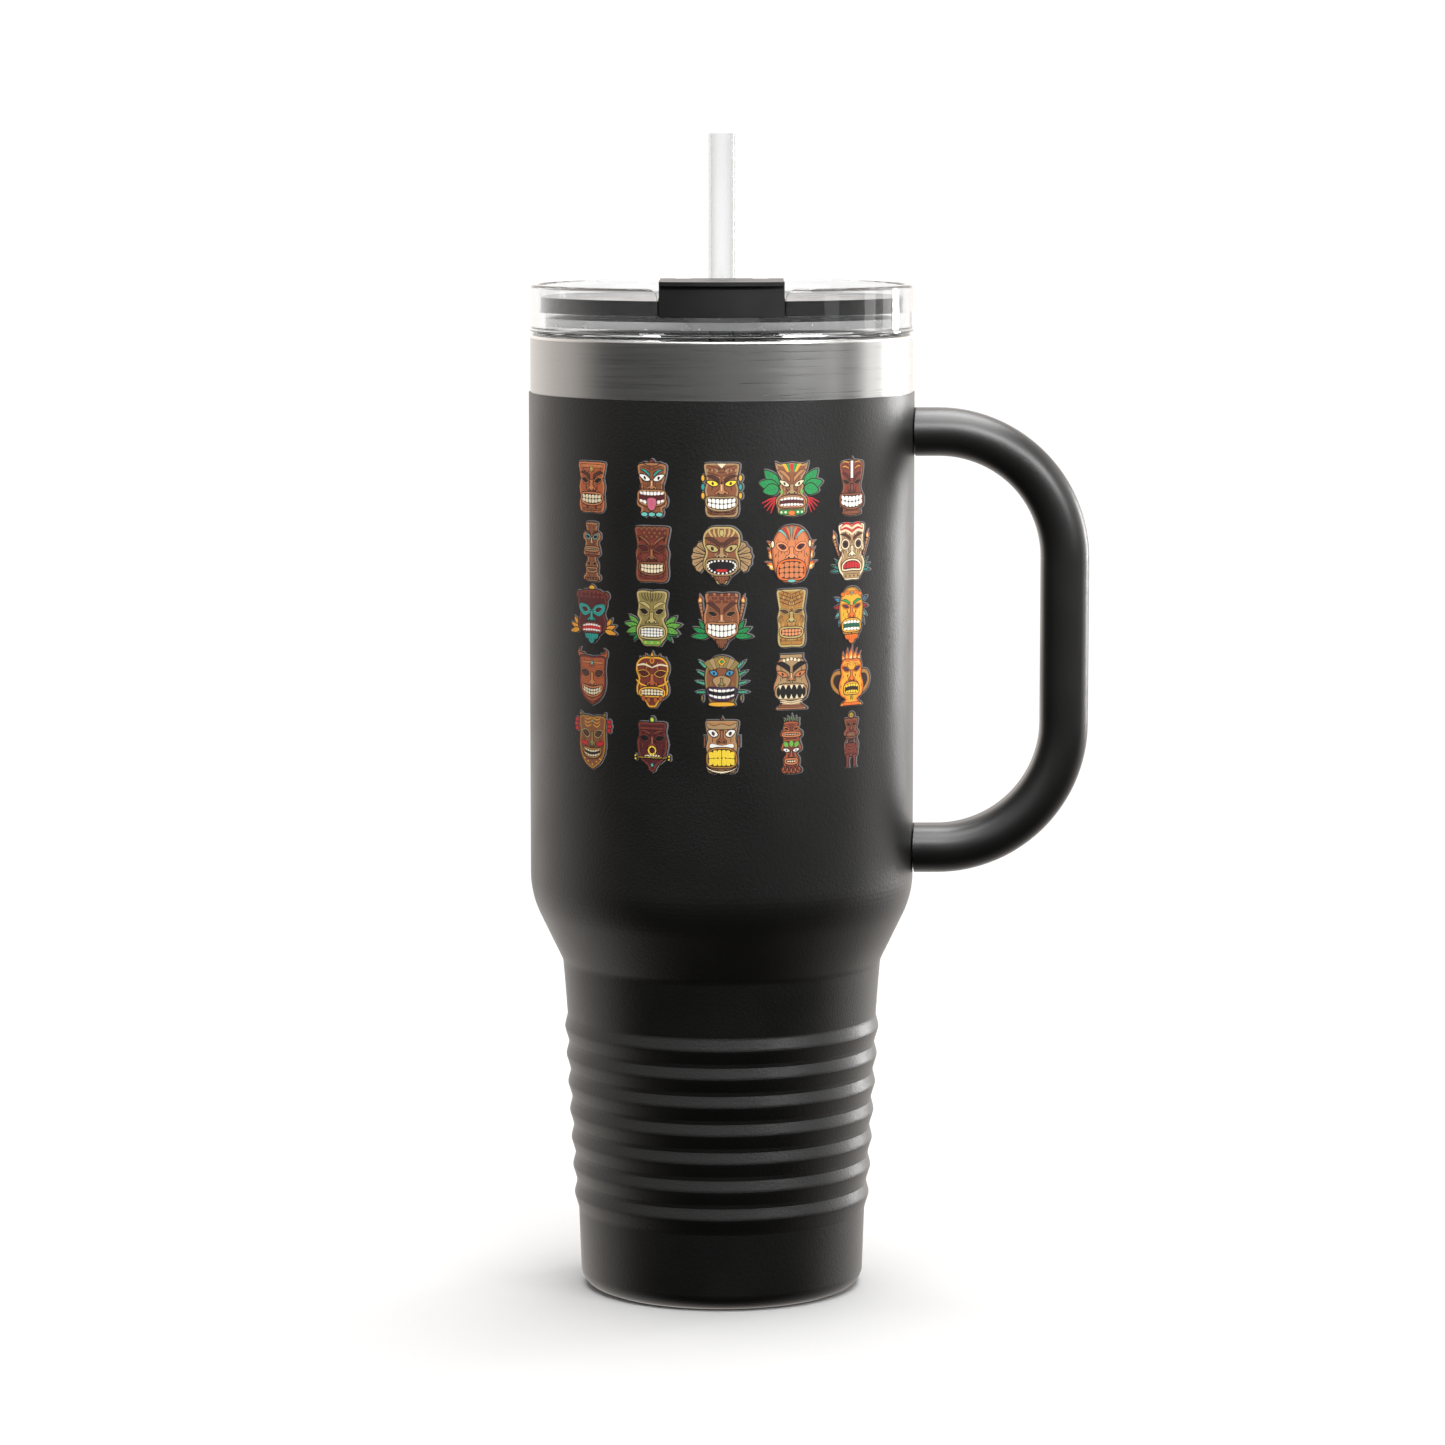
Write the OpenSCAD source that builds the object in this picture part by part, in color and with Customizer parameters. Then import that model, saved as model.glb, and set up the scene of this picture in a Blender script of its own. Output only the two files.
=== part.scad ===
// Insulated travel mug: double-walled steel body with a ribbed cup-holder shank, a loop handle,
// a clear lid with a flip-up drinking flap, and a drinking straw.
// Origin: centre of the foot ring, on the table. +Z up, +X towards the handle, -Y towards the flap.

/* [Body] */
// Outer diameter of the coated body above the shoulder
body_d = 100; // [98:0.5:102]
// Height of the rolled rim above the table
rim_h = 250; // [249:0.5:252]
// Height of the upper edge of the powder coat
coat_top = 235; // [232:1:240]
// Thickness of the powder coat
coat_t = 0.4; // [0.3:0.05:0.5]
// Thickness of the steel in the shell, liner and base
steel_t = 0.6; // [0.5:0.05:0.7]
// Width of the vacuum gap between shell and liner
vacuum_gap = 3.4; // [3:0.1:3.6]
// Distance that the liner steps out at the mouth, where the lid plugs in
mouth_step = 1.6; // [1.2:0.1:1.8]

/* [Shoulder and shank] */
// Height where the shoulder's cone meets the line of the wide wall
cone_top = 104; // [103:0.5:106]
// Height where the shoulder's cone meets the line of the shank
cone_bottom = 86.5; // [85:0.5:88]
// Diameter of the shank where the cone meets it
shank_top_d = 83.2; // [82:0.2:84]
// Diameter that the shank's line has at the table
shank_foot_d = 73.7; // [73:0.1:75]
// Radius of the outward bend at the top of the shoulder
shoulder_round = 24; // [18:1:26]
// Radius of the inward bend at the bottom of the shoulder
throat_round = 5; // [3:0.5:6]
// Radius of the rounded foot
foot_round = 4.5; // [4:0.5:5]

/* [Ribs] */
// Number of rolled ribs round the shank
rib_count = 7; // [5:1:7]
// Distance from one rib to the next
rib_pitch = 7.4; // [7:0.1:7.4]
// Height of the crest of the top rib
rib_top = 68.7; // [68:0.1:70]
// Depth from the crest of a rib to the groove beside it
rib_depth = 0.9; // [0.6:0.05:1.1]

/* [Handle] */
// Height of the upper arm's centreline
arm_top = 224.6; // [222:0.2:226]
// Height of the lower arm's centreline
arm_bottom = 115.7; // [115:0.1:118]
// Distance from the mug's axis to the centreline of the grip
grip_x = 89.3; // [88:0.1:92]
// Thickness of the handle in the plane of the loop
grip_t = 12.4; // [12:0.1:13]
// Width of the handle across the loop
grip_w = 16.6; // [16:0.1:18]
// Bend radius of the handle's centreline
bend_r = 33; // [31:0.5:34]
// Wall thickness of the moulded handle halves
grip_wall = 2.2; // [2:0.1:2.4]

/* [Lid] */
// Outer diameter of the clear lid's wall
lid_d = 99; // [98.6:0.1:99.2]
// Height of the lid's upper edge above the table
lid_top = 262.8; // [262.4:0.1:263]
// Thickness of the clear lid's wall
lid_wall = 2.2; // [2:0.1:2.4]
// Depth that the lid's skirt reaches below the rim
skirt_depth = 9; // [8:0.5:10]

/* [Flap] */
// Width of the flip-up flap
flap_w = 31.4; // [31:0.1:32]
// Height of the flap's upper face above the table
flap_top = 264.6; // [264.4:0.1:264.8]
// Height of the lower edge of the flap's front
flap_bottom = 255.7; // [255.6:0.1:256]
// Distance from the mug's axis forward to the hinge pin
hinge_y = 12; // [11.5:0.5:12.5]
// Diameter of the steel hinge pin
pin_d = 2.5; // [2:0.1:2.6]

/* [Straw] */
// Outer diameter of the straw
straw_d = 7; // [6.6:0.1:7]
// Wall thickness of the straw
straw_wall = 0.6; // [0.5:0.05:0.6]
// Height of the straw's upper end above the table
straw_top = 301.5; // [296:0.5:306]
// Distance from the mug's axis back to the straw
straw_y = 22; // [21:0.5:24]

/* [Hidden] */
$fn = 96;
eps = 0.01;

// clearances: bonded faces, neighbouring pieces of different bodies, turning fits, deep cutters
film = 0.02;
gap = 0.3;
run_fit = 0.05;
far = 200;

// steel body
body_r = body_d / 2;
shell_inset = coat_t + film;
liner_inset = shell_inset + steel_t + vacuum_gap;
liner_in_r = body_r - liner_inset - steel_t;
mouth_r = liner_in_r + mouth_step;
mouth_low = rim_h - 18;
mouth_slope_h = 4;
neck_r = body_r - shell_inset;
lip_h = 1;
lip_round = 0.8;
shank_slope = (shank_top_d - shank_foot_d) / 2 / cone_bottom;
shank_angle = atan(shank_slope);
cone_angle = atan((body_r - shank_top_d / 2) / (cone_top - cone_bottom));
shoulder_z = cone_top + shoulder_round * tan(cone_angle / 2);
throat_length = throat_round * tan((cone_angle - shank_angle) / 2);
foot_r = shank_r(foot_round * (1 - sin(shank_angle))) - foot_round * cos(shank_angle);
coat_foot_angle = 62;
ring_w = 3;
rib_rise = 0.45;
rib_sharp = 0.97;
rib_low = rib_top - (rib_count - 1) * rib_pitch;
rib_start = rib_low - (1 - rib_rise) * rib_pitch;
rib_end = rib_top + rib_rise * rib_pitch;
steps = 8;

// base
ledge_z = 2.4;
ledge_w = 3;
liner_floor = 7.2;
liner_foot_round = 9;
cover_t = 0.8;
seal_r = 3;
getter_r = 6;
getter_room = 2;
seal_stub = 0.2;

// handle
tab_t = 4;
tab_h = 7;
tab_end = 59;
screw_x = 55.4;
screw_r = 1.5;
boss_r = 3.1;
boss_y = 7;
head_r = 2.6;
head_h = 2;
head_y = 4.4;
screw_end = grip_w / 2 - 2.4;
screw_bore_end = screw_end + 0.6;
socket_r = 1.2;
plug_y = 6.5;
handle_gap = 0.35;
arm_start = body_r - 4;

// lid
lid_r = lid_d / 2;
lid_in_r = lid_r - lid_wall;
lid_low = rim_h + 0.5;
lid_round = 0.9;
bead_h = 1.2;
bead_out = 0.4;
bead_slope = 0.4;
under_step = 0.6;
skirt_wall = 2.2;
skirt_chamfer = 0.7;
floor_low = rim_h + 2.4;
floor_top = rim_h + 4.4;
skirt_r = mouth_r - 0.9;
skirt_in = skirt_r - skirt_wall;
skirt_low = rim_h - skirt_depth;
groove_low = skirt_low + 2.4;
groove_h = 3.4;
groove_d = 1.2;
fin_gap = 0.1;
fin_t = 0.45;
notch_w = flap_w + 0.8;
notch_low = flap_bottom - 0.4;
notch_back = lid_in_r - 6.5;
notch_round = 2.6;
lip_pad_w = 28;
lip_pad_out = 0.35;
lip_pad_low = lid_low + bead_h + 0.4;

// black deck inside the lid
deck_low = floor_top + 1.5;
deck_web = 1.5;
deck_top = deck_low + 3.8;
deck_r = lid_in_r - 0.5;
deck_rim = 2;
web_top = deck_low + deck_web;
roof_low = deck_top - deck_web;
tray_w = notch_w;
tray_back = 8;

// drinking opening
sip_y = 37;
sip_w = 16;
sip_l = 7;
collar_t = 1.2;

// flap
plate_t = 2.4;
plate_low = flap_top - plate_t;
front_r = body_r;
front_t = 2.1;
lip_out = 0.8;
lip_t = 1;
undercut_h = 1;
pin_r = pin_d / 2;
pin_z = flap_top - 3.4;
knuckle_r = 3.2;
knuckle_w = 3.2;
pin_l = flap_w - 0.4;
ear_x = 8.2;
ear_w = 3.4;
stem_low = web_top + 1.6;
knuckle_arm = 4;
ear_room = 5;
undercut_d = 0.7;
seal_rim = 3;

// straw
straw_r = straw_d / 2;
straw_low = 13;
stop_r = 5;
stop_h = 1.8;
bush_r = 5.2;
bush_hole_h = 10;
bush_fit = 0.1;
flange_r = 7;
flange_t = 0.7;
collar_r = 8;

// ---- outline of the body ----

// radius of the plain shank at a height
function shank_r(z) = shank_foot_d / 2 + shank_slope * z;

// share of a rib's swell at t, where t runs from 0 at a crest up to 1 at the next crest: straight
// slopes, with the crests and the grooves a little rounded
function rib_wave(t) =
    let (turn = t < rib_rise ? t / rib_rise : (1 - t) / (1 - rib_rise))
    asin(rib_sharp * cos(180 * turn)) / asin(rib_sharp);

// radius of the ribbed shank at a height
function ribbed_r(z) = shank_r(z)
    + rib_depth * (0.16 + 0.5 * rib_wave(((z - rib_low) / rib_pitch + rib_count) % 1));

// centre of the hollow bend at the bottom of the shoulder
function throat_centre() = [
    shank_top_d / 2 - throat_length * sin(shank_angle) + throat_round * cos(shank_angle),
    cone_bottom - throat_length * cos(shank_angle) - throat_round * sin(shank_angle)
];

// the rounded foot, from one angle below the horizontal to another, inset by d
function foot_arc(d, from, to) = [
    for (i = [0 : steps])
        let (a = from + (to - from) * i / steps)
        [foot_r + (foot_round - d) * cos(a), foot_round - (foot_round - d) * sin(a)]
];

// heights at which the ribbed stretch is sampled, from the groove below each rib up to the next groove
function rib_heights() = [
    rib_start,
    for (k = [0 : rib_count - 1])
        for (t = [-0.47, -0.4, -0.27, -0.14, -0.07, 0, 0.06, 0.12, 0.22, 0.33, 0.39])
            rib_low + (k + t) * rib_pitch,
    rib_end
];

// the wall from the top of the shank up to the wide body, moved in by d
function shoulder_points(d) = let (c = throat_centre()) [
    for (i = [0 : steps])
        let (a = shank_angle + (cone_angle - shank_angle) * i / steps)
        [c[0] - throat_round * cos(a) - d, c[1] + throat_round * sin(a)],
    for (i = [0 : steps])
        let (a = cone_angle * (1 - i / steps))
        [body_r - shoulder_round * (1 - cos(a)) - d, shoulder_z - shoulder_round * sin(a)]
];

// the whole ribbed side from above the foot to a height, moved in by d
function side_points(d, top) = concat(
    [for (z = rib_heights()) [ribbed_r(z) - d, z]],
    shoulder_points(d),
    [[body_r - d, top]]
);

// the plain side that the liner follows
function liner_points(d, floor_z, corner) = concat(
    [[0, floor_z]],
    [
        for (i = [0 : steps])
            let (a = 90 - (90 - shank_angle) * i / steps)
            [shank_r(floor_z + corner) - d - corner * (1 - cos(a)),
             floor_z + corner * (1 - sin(a))]
    ],
    shoulder_points(d),
    [[body_r - d, mouth_low], [body_r - d + mouth_step, mouth_low + mouth_slope_h]]
);

function reversed(points) = [for (i = [len(points) - 1 : -1 : 0]) points[i]];

// ---- helpers ----

// disc or ring about the mug's axis
module ring(outer, inner, low, high) {
    translate([0, 0, low])
        difference() {
            cylinder(r = outer, h = high - low);
            if (inner > 0)
                translate([0, 0, -1]) cylinder(r = inner, h = high - low + 2);
        }
}

// cylinder along +Y from y0 to y1
module rod_y(r, x, z, y0, y1) {
    translate([x, y0, z]) rotate([-90, 0, 0]) cylinder(r = r, h = y1 - y0);
}

// cylinder along X, centred on x
module rod_x(r, x, y, z, l) {
    translate([x - l / 2, y, z]) rotate([0, 90, 0]) cylinder(r = r, h = l);
}

// upright hole or post with round ends, l deep along Y and w wide along X
module slot(w, l, low, high) {
    translate([0, -sip_y, low]) {
        translate([-(w - l) / 2, -l / 2, 0]) cube([w - l, l, high - low]);
        for (side = [-1, 1])
            translate([side * (w - l) / 2, 0, 0]) cylinder(d = l, h = high - low);
    }
}

// half of the handle's hollow section; side is -1 for the front half and 1 for the rear half
module grip_section(side, wall) {
    straight = grip_w - grip_t;
    difference() {
        intersection() {
            union() {
                square([grip_t, straight], center = true);
                for (end = [-1, 1]) translate([0, end * straight / 2]) circle(d = grip_t);
            }
            translate([-grip_t, side > 0 ? 0 : -grip_w]) square([2 * grip_t, grip_w]);
        }
        if (wall > 0) {
            square([grip_t - 2 * wall, straight], center = true);
            for (end = [-1, 1])
                translate([0, end * straight / 2]) circle(d = grip_t - 2 * wall);
        }
    }
}

// straight arm of the handle along X, from x0 to x1
module arm(side, wall, z, x0, x1) {
    rotate([90, 0, 0]) translate([x0, z, 0]) rotate([90, 0, 90])
        linear_extrude(x1 - x0) grip_section(-side, wall);
}

// a half section swept round the loop, from inside the body wall and back to it
module grip_sweep(side, wall) {
    bend_x = grip_x - bend_r;
    for (z = [arm_bottom, arm_top]) arm(side, wall, z, arm_start, bend_x);
    rotate([90, 0, 0]) {
        for (end = [[arm_top - bend_r, 0], [arm_bottom + bend_r, -90]])
            translate([bend_x, end[0], 0]) rotate([0, 0, end[1]])
                rotate_extrude(angle = 90) translate([bend_r, 0]) grip_section(-side, wall);
        translate([grip_x, arm_bottom + bend_r, 0]) rotate([-90, 0, 0])
            linear_extrude(arm_top - arm_bottom - 2 * bend_r) grip_section(side, wall);
    }
}

// one moulded half of the handle, open towards the body
module grip_half(side) {
    difference() {
        union() {
            grip_sweep(side, grip_wall);
            for (z = [arm_bottom, arm_top])
                rod_y(boss_r, screw_x, z, side > 0 ? tab_t / 2 + film : -boss_y,
                      side > 0 ? boss_y : -tab_t / 2 - film);
        }
        cylinder(r = body_r + handle_gap, h = rim_h);
    }
}

// ---- steel body ----

module outer_shell() {
    out = concat(
        foot_arc(shell_inset, coat_foot_angle, shank_angle),
        side_points(shell_inset, rim_h - lip_h - film)
    );
    in = concat(
        foot_arc(shell_inset + steel_t, coat_foot_angle, shank_angle),
        side_points(shell_inset + steel_t, rim_h - lip_h - film)
    );
    ring_in = foot_r - ring_w;
    color("silver") rotate_extrude() polygon(concat(
        [[foot_r, 0], [foot_r + 1, 0.1]],
        out,
        reversed(in),
        [
            [foot_r, steel_t],
            [ring_in + steel_t, steel_t],
            [ring_in + steel_t, ledge_z + steel_t],
            [ring_in - ledge_w, ledge_z + steel_t],
            [ring_in - ledge_w, ledge_z],
            [ring_in, ledge_z],
            [ring_in, 0]
        ]
    ));
}

module powder_coat() {
    color([0.06, 0.06, 0.06]) difference() {
        rotate_extrude() polygon(concat(
            foot_arc(0, coat_foot_angle, shank_angle),
            side_points(0, coat_top),
            reversed(concat(
                foot_arc(coat_t, coat_foot_angle, shank_angle),
                side_points(coat_t, coat_top)
            ))
        ));
        for (z = [arm_bottom, arm_top])
            translate([0, -tab_t / 2 - gap, z - tab_h / 2 - gap])
                cube([far, tab_t + 2 * gap, tab_h + 2 * gap]);
    }
}

module inner_liner() {
    outer = liner_points(liner_inset, liner_floor, liner_foot_round);
    inner = liner_points(liner_inset + steel_t, liner_floor + steel_t, liner_foot_round);
    lip = [
        [body_r - liner_inset + mouth_step, rim_h - lip_h],
        [neck_r, rim_h - lip_h],
        for (i = [0 : steps])
            let (a = 90 * i / steps)
            [neck_r - lip_round * (1 - cos(a)), rim_h - lip_round * (1 - sin(a))],
        for (i = [0 : steps])
            let (a = 90 * i / steps)
            [mouth_r + lip_round * (1 - sin(a)), rim_h - lip_round * (1 - cos(a))]
    ];
    color([0.8, 0.8, 0.78]) rotate_extrude()
        polygon(concat(outer, lip, reversed(inner)));
}

module base_plate() {
    color([0.7, 0.7, 0.68])
        ring(foot_r - ring_w, seal_r / 2, ledge_z + steel_t, ledge_z + 2 * steel_t);
}

module vacuum_seal() {
    color([0.45, 0.45, 0.4])
        ring(seal_r, 0, ledge_z - seal_stub, ledge_z + steel_t - film);
}

module getter() {
    color([0.35, 0.35, 0.37]) translate([foot_r / 2, 0, 0])
        ring(getter_r, 0, ledge_z + 2 * steel_t, liner_floor - getter_room);
}

module base_cover() {
    color([0.12, 0.12, 0.12])
        ring(foot_r - ring_w - gap, 0, ledge_z - 2 * cover_t, ledge_z - cover_t);
    color([0.12, 0.12, 0.12])
        ring(foot_r - ring_w - gap, foot_r - ring_w - ledge_w + 1,
             ledge_z - cover_t, ledge_z - film);
}

// ---- handle ----

module handle_front() {
    color([0.08, 0.08, 0.08]) difference() {
        grip_half(-1);
        for (z = [arm_bottom, arm_top])
            rod_y(screw_r + run_fit, screw_x, z, -screw_bore_end, 0);
    }
}

module handle_rear() {
    color([0.08, 0.08, 0.08]) difference() {
        grip_half(1);
        for (z = [arm_bottom, arm_top]) {
            rod_y(screw_r + run_fit, screw_x, z, 0, grip_w);
            rod_y(head_r + run_fit, screw_x, z, head_y, grip_w);
        }
    }
}

// steel tab that stands out of the shell inside one arm of the handle
module bracket(z) {
    color([0.62, 0.62, 0.6]) difference() {
        translate([0, -tab_t / 2, z - tab_h / 2]) cube([tab_end, tab_t, tab_h]);
        translate([0, 0, z - tab_h]) cylinder(r = neck_r, h = 2 * tab_h);
        rod_y(screw_r + run_fit, screw_x, z, -tab_t, tab_t);
    }
}

module upper_bracket() { bracket(arm_top); }

module lower_bracket() { bracket(arm_bottom); }

module handle_screws() {
    color([0.55, 0.55, 0.55])
        for (z = [arm_bottom, arm_top]) difference() {
            union() {
                rod_y(screw_r, screw_x, z, -screw_end, head_y);
                rod_y(head_r, screw_x, z, head_y, head_y + head_h);
            }
            translate([screw_x, head_y + head_h / 2, z]) rotate([-90, 30, 0])
                cylinder(r = socket_r, h = head_h, $fn = 6);
        }
}

module screw_plugs() {
    color([0.1, 0.1, 0.1])
        for (z = [arm_bottom, arm_top]) intersection() {
            rod_y(head_r, screw_x, z, plug_y, grip_w / 2);
            arm(1, 0, z, arm_start, tab_end + boss_r);
        }
}

// ---- lid ----

// outline of the notch seen along Y, its two upper corners rounded off
module notch_outline() {
    translate([-notch_w / 2, notch_low]) square([notch_w, far]);
    difference() {
        translate([-notch_w / 2 - notch_round, lid_top - notch_round])
            square([notch_w + 2 * notch_round, far]);
        for (side = [-1, 1])
            translate([side * (notch_w / 2 + notch_round), lid_top - notch_round])
                circle(r = notch_round);
    }
}

module lid_body() {
    color([0.9, 0.95, 1, 0.35]) difference() {
        union() {
            rotate_extrude() polygon([
                [lid_r - bead_slope, lid_low],
                [lid_r + bead_out, lid_low + bead_slope],
                [lid_r + bead_out, lid_low + bead_h - bead_slope],
                [lid_r, lid_low + bead_h],
                for (i = [0 : steps])
                    let (a = 90 * i / steps)
                    [lid_r - lid_round * (1 - cos(a)), lid_top - lid_round * (1 - sin(a))],
                for (i = [0 : steps])
                    let (a = 90 * i / steps)
                    [lid_in_r + lid_round * (1 - sin(a)), lid_top - lid_round * (1 - cos(a))],
                [lid_in_r, deck_low - film],
                [skirt_r + film, deck_low - film],
                [skirt_r + film, lid_low + under_step],
                [lid_r - bead_slope - under_step, lid_low + under_step]
            ]);
            intersection() {
                ring(lid_r + lip_pad_out, lid_r - 1, lip_pad_low, notch_low);
                translate([-lip_pad_w / 2, -far, 0]) cube([lip_pad_w, far, far * 2]);
            }
        }
        translate([0, -notch_back, 0]) rotate([90, 0, 0])
            linear_extrude(far) notch_outline();
    }
}

// clear disc welded into the lid's wall, with a spout collar under the deck's tray
module lid_floor() {
    color([0.9, 0.95, 1, 0.35]) difference() {
        union() {
            ring(skirt_r, 0, floor_low, floor_top);
            slot(sip_w + 2 * collar_t, sip_l + 2 * collar_t, floor_top - eps, deck_low - film);
        }
        slot(sip_w, sip_l, skirt_low, deck_top);
        translate([0, straw_y, floor_low - 1]) cylinder(r = bush_r + run_fit, h = bush_hole_h);
    }
}

// ring welded under the lid that plugs into the mouth, with a groove for the gasket
module lid_skirt() {
    color([0.9, 0.95, 1, 0.35]) difference() {
        rotate_extrude() polygon([
            [skirt_in, floor_low - film],
            [skirt_in, skirt_low],
            [skirt_r - skirt_chamfer, skirt_low],
            [skirt_r, skirt_low + skirt_chamfer],
            [skirt_r, floor_low - film]
        ]);
        ring(skirt_r + 1, skirt_r - groove_d, groove_low, groove_low + groove_h);
    }
}

module lid_gasket() {
    low = groove_low + film;
    top = groove_low + groove_h - film;
    back = skirt_r - groove_d + film;
    fin_r = mouth_r - fin_gap;
    mid_r = skirt_r - fin_gap;
    color([0.92, 0.92, 0.9]) rotate_extrude() polygon([
        [back, low],
        [skirt_r, low],
        [fin_r, low + fin_t],
        [fin_r, low + 2 * fin_t],
        [mid_r, low + 3 * fin_t],
        [mid_r, top - 3 * fin_t],
        [fin_r, top - 2 * fin_t],
        [fin_r, top - fin_t],
        [skirt_r, top],
        [back, top]
    ]);
}

module lid_deck() {
    ear_y = -hinge_y - knuckle_r;
    color([0.07, 0.07, 0.07]) difference() {
        union() {
            difference() {
                union() {
                    ring(deck_r, 0, roof_low, deck_top);
                    ring(deck_r, deck_r - deck_rim, deck_low, roof_low + eps);
                    translate([0, straw_y, 0]) ring(collar_r, 0, deck_low, roof_low + eps);
                    intersection() {
                        ring(deck_r, 0, deck_low, roof_low + eps);
                        translate([-tray_w / 2 - deck_web, -far, 0])
                            cube([tray_w + 2 * deck_web, far - tray_back + deck_web, far * 2]);
                    }
                }
                // tray that the flap folds down into
                intersection() {
                    ring(deck_r - deck_rim, 0, web_top, deck_top + 1);
                    translate([-tray_w / 2, -far, 0])
                        cube([tray_w, far - tray_back, far * 2]);
                }
            }
            for (side = [-1, 1]) {
                translate([side * (ear_x + ear_w / 2) - ear_w / 2, ear_y, deck_low])
                    cube([ear_w, 2 * knuckle_r, pin_z - deck_low]);
                rod_x(knuckle_r, side * (ear_x + ear_w / 2), -hinge_y, pin_z, ear_w);
            }
        }
        slot(sip_w, sip_l, floor_low, web_top + 1);
        translate([0, straw_y, floor_low]) cylinder(r = bush_r + run_fit, h = bush_hole_h);
        rod_x(pin_r + film / 2, 0, -hinge_y, pin_z, flap_w);
    }
}

module straw_bush() {
    bore_r = straw_r + bush_fit;
    color([0.9, 0.9, 0.88]) translate([0, straw_y, 0]) {
        ring(bush_r, bore_r, floor_low - 1, deck_top + flange_t);
        ring(flange_r, bush_r - 1, deck_top + film, deck_top + flange_t);
        ring(flange_r - 1, bush_r - 1, floor_low - 1, floor_low - film);
    }
}

module hinge_pin() {
    color([0.75, 0.75, 0.75]) rod_x(pin_r, 0, -hinge_y, pin_z, pin_l);
}

// ---- flap ----

module flap() {
    back_y = hinge_y + pin_r + 0.4;
    color([0.09, 0.09, 0.09]) difference() {
        union() {
            // top plate and the down-turned front, both following the lid's round edge
            intersection() {
                union() {
                    ring(front_r, 0, plate_low, flap_top - lip_t);
                    ring(front_r + lip_out, 0, flap_top - lip_t, flap_top);
                    ring(front_r, front_r - front_t, flap_bottom, plate_low + eps);
                }
                translate([-flap_w / 2, -far, 0]) cube([flap_w, far - back_y, far * 2]);
            }
            // knuckles at both ends of the pin
            for (side = [-1, 1]) {
                knuckle_x = side * (flap_w - knuckle_w) / 2;
                rod_x(knuckle_r, knuckle_x, -hinge_y, pin_z, knuckle_w);
                translate([knuckle_x - knuckle_w / 2, -back_y - knuckle_arm, pin_z])
                    cube([knuckle_w, back_y + knuckle_arm - hinge_y, knuckle_r]);
            }
            // stem that carries the seal
            slot(sip_w + 2, sip_l + 2, stem_low, plate_low + eps);
        }
        // finger undercut below the lip
        ring(front_r + lip_out, front_r - undercut_d, flap_top - lip_t - undercut_h, flap_top - lip_t);
        // room for the deck's ears and a bore for the pin
        for (side = [-1, 1])
            translate([
                side * (ear_x + ear_w / 2) - ear_w / 2 - gap,
                -hinge_y - ear_room,
                pin_z - ear_room
            ])
                cube([ear_w + 2 * gap, 2 * ear_room, 2 * ear_room]);
        rod_x(pin_r + run_fit, 0, -hinge_y, pin_z, flap_w + 1);
    }
}

module flap_seal() {
    color([0.9, 0.9, 0.88])
        slot(sip_w + seal_rim, sip_l + seal_rim, web_top + gap, stem_low - film);
}

// ---- straw ----

module straw() {
    stop_low = deck_top + flange_t + gap;
    color([0.95, 0.97, 1, 0.4]) translate([0, straw_y, 0]) difference() {
        union() {
            translate([0, 0, straw_low]) cylinder(r = straw_r, h = straw_top - straw_low);
            translate([0, 0, stop_low]) cylinder(r = stop_r, h = stop_h);
        }
        translate([0, 0, straw_low - 1])
            cylinder(r = straw_r - straw_wall, h = straw_top - straw_low + 2);
    }
}

outer_shell();
powder_coat();
inner_liner();
base_plate();
vacuum_seal();
getter();
base_cover();
handle_front();
handle_rear();
upper_bracket();
lower_bracket();
handle_screws();
screw_plugs();
lid_body();
lid_floor();
lid_skirt();
lid_gasket();
lid_deck();
straw_bush();
hinge_pin();
flap();
flap_seal();
straw();
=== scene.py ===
"""Insulated travel mug with a print of tiki masks: looks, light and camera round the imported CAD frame."""

import math
import random

import bmesh
import bpy
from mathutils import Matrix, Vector
from mathutils.geometry import tessellate_polygon


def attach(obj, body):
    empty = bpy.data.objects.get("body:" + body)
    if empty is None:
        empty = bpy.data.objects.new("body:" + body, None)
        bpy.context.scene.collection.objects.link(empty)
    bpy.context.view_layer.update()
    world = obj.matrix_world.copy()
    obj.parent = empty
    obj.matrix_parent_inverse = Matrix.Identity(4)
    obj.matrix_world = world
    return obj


MM = 0.001

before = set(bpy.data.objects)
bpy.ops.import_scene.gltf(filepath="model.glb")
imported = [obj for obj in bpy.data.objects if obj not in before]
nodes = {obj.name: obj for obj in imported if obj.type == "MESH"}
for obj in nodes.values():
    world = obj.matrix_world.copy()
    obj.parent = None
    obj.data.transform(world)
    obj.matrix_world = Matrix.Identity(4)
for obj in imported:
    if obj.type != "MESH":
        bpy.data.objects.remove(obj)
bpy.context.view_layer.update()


# ---- camera, in metres ----

CAMERA_X = 0.0002
CAMERA_DISTANCE = 1.3064
CAMERA_HEIGHT = 0.2995
CAMERA_PITCH = math.radians(6.59)
LENS_MM = 125.41
SENSOR_MM = 36.0


def make_camera():
    data = bpy.data.cameras.new("camera")
    data.sensor_width = SENSOR_MM
    data.lens = LENS_MM
    camera = bpy.data.objects.new("camera", data)
    bpy.context.scene.collection.objects.link(camera)
    camera.location = (CAMERA_X, -CAMERA_DISTANCE, CAMERA_HEIGHT)
    camera.rotation_euler = (math.pi / 2 - CAMERA_PITCH, 0, 0)
    bpy.context.scene.camera = camera


# ---- light, in metres ----

WHITE = (1, 1, 1, 1)
WHITE_GLOW = 1.05
ROOM_TINT = (1.0, 0.94, 0.89, 1)
OVERHEAD = 1.0
MIDDLE = (0, 0, 0.16)

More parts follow.
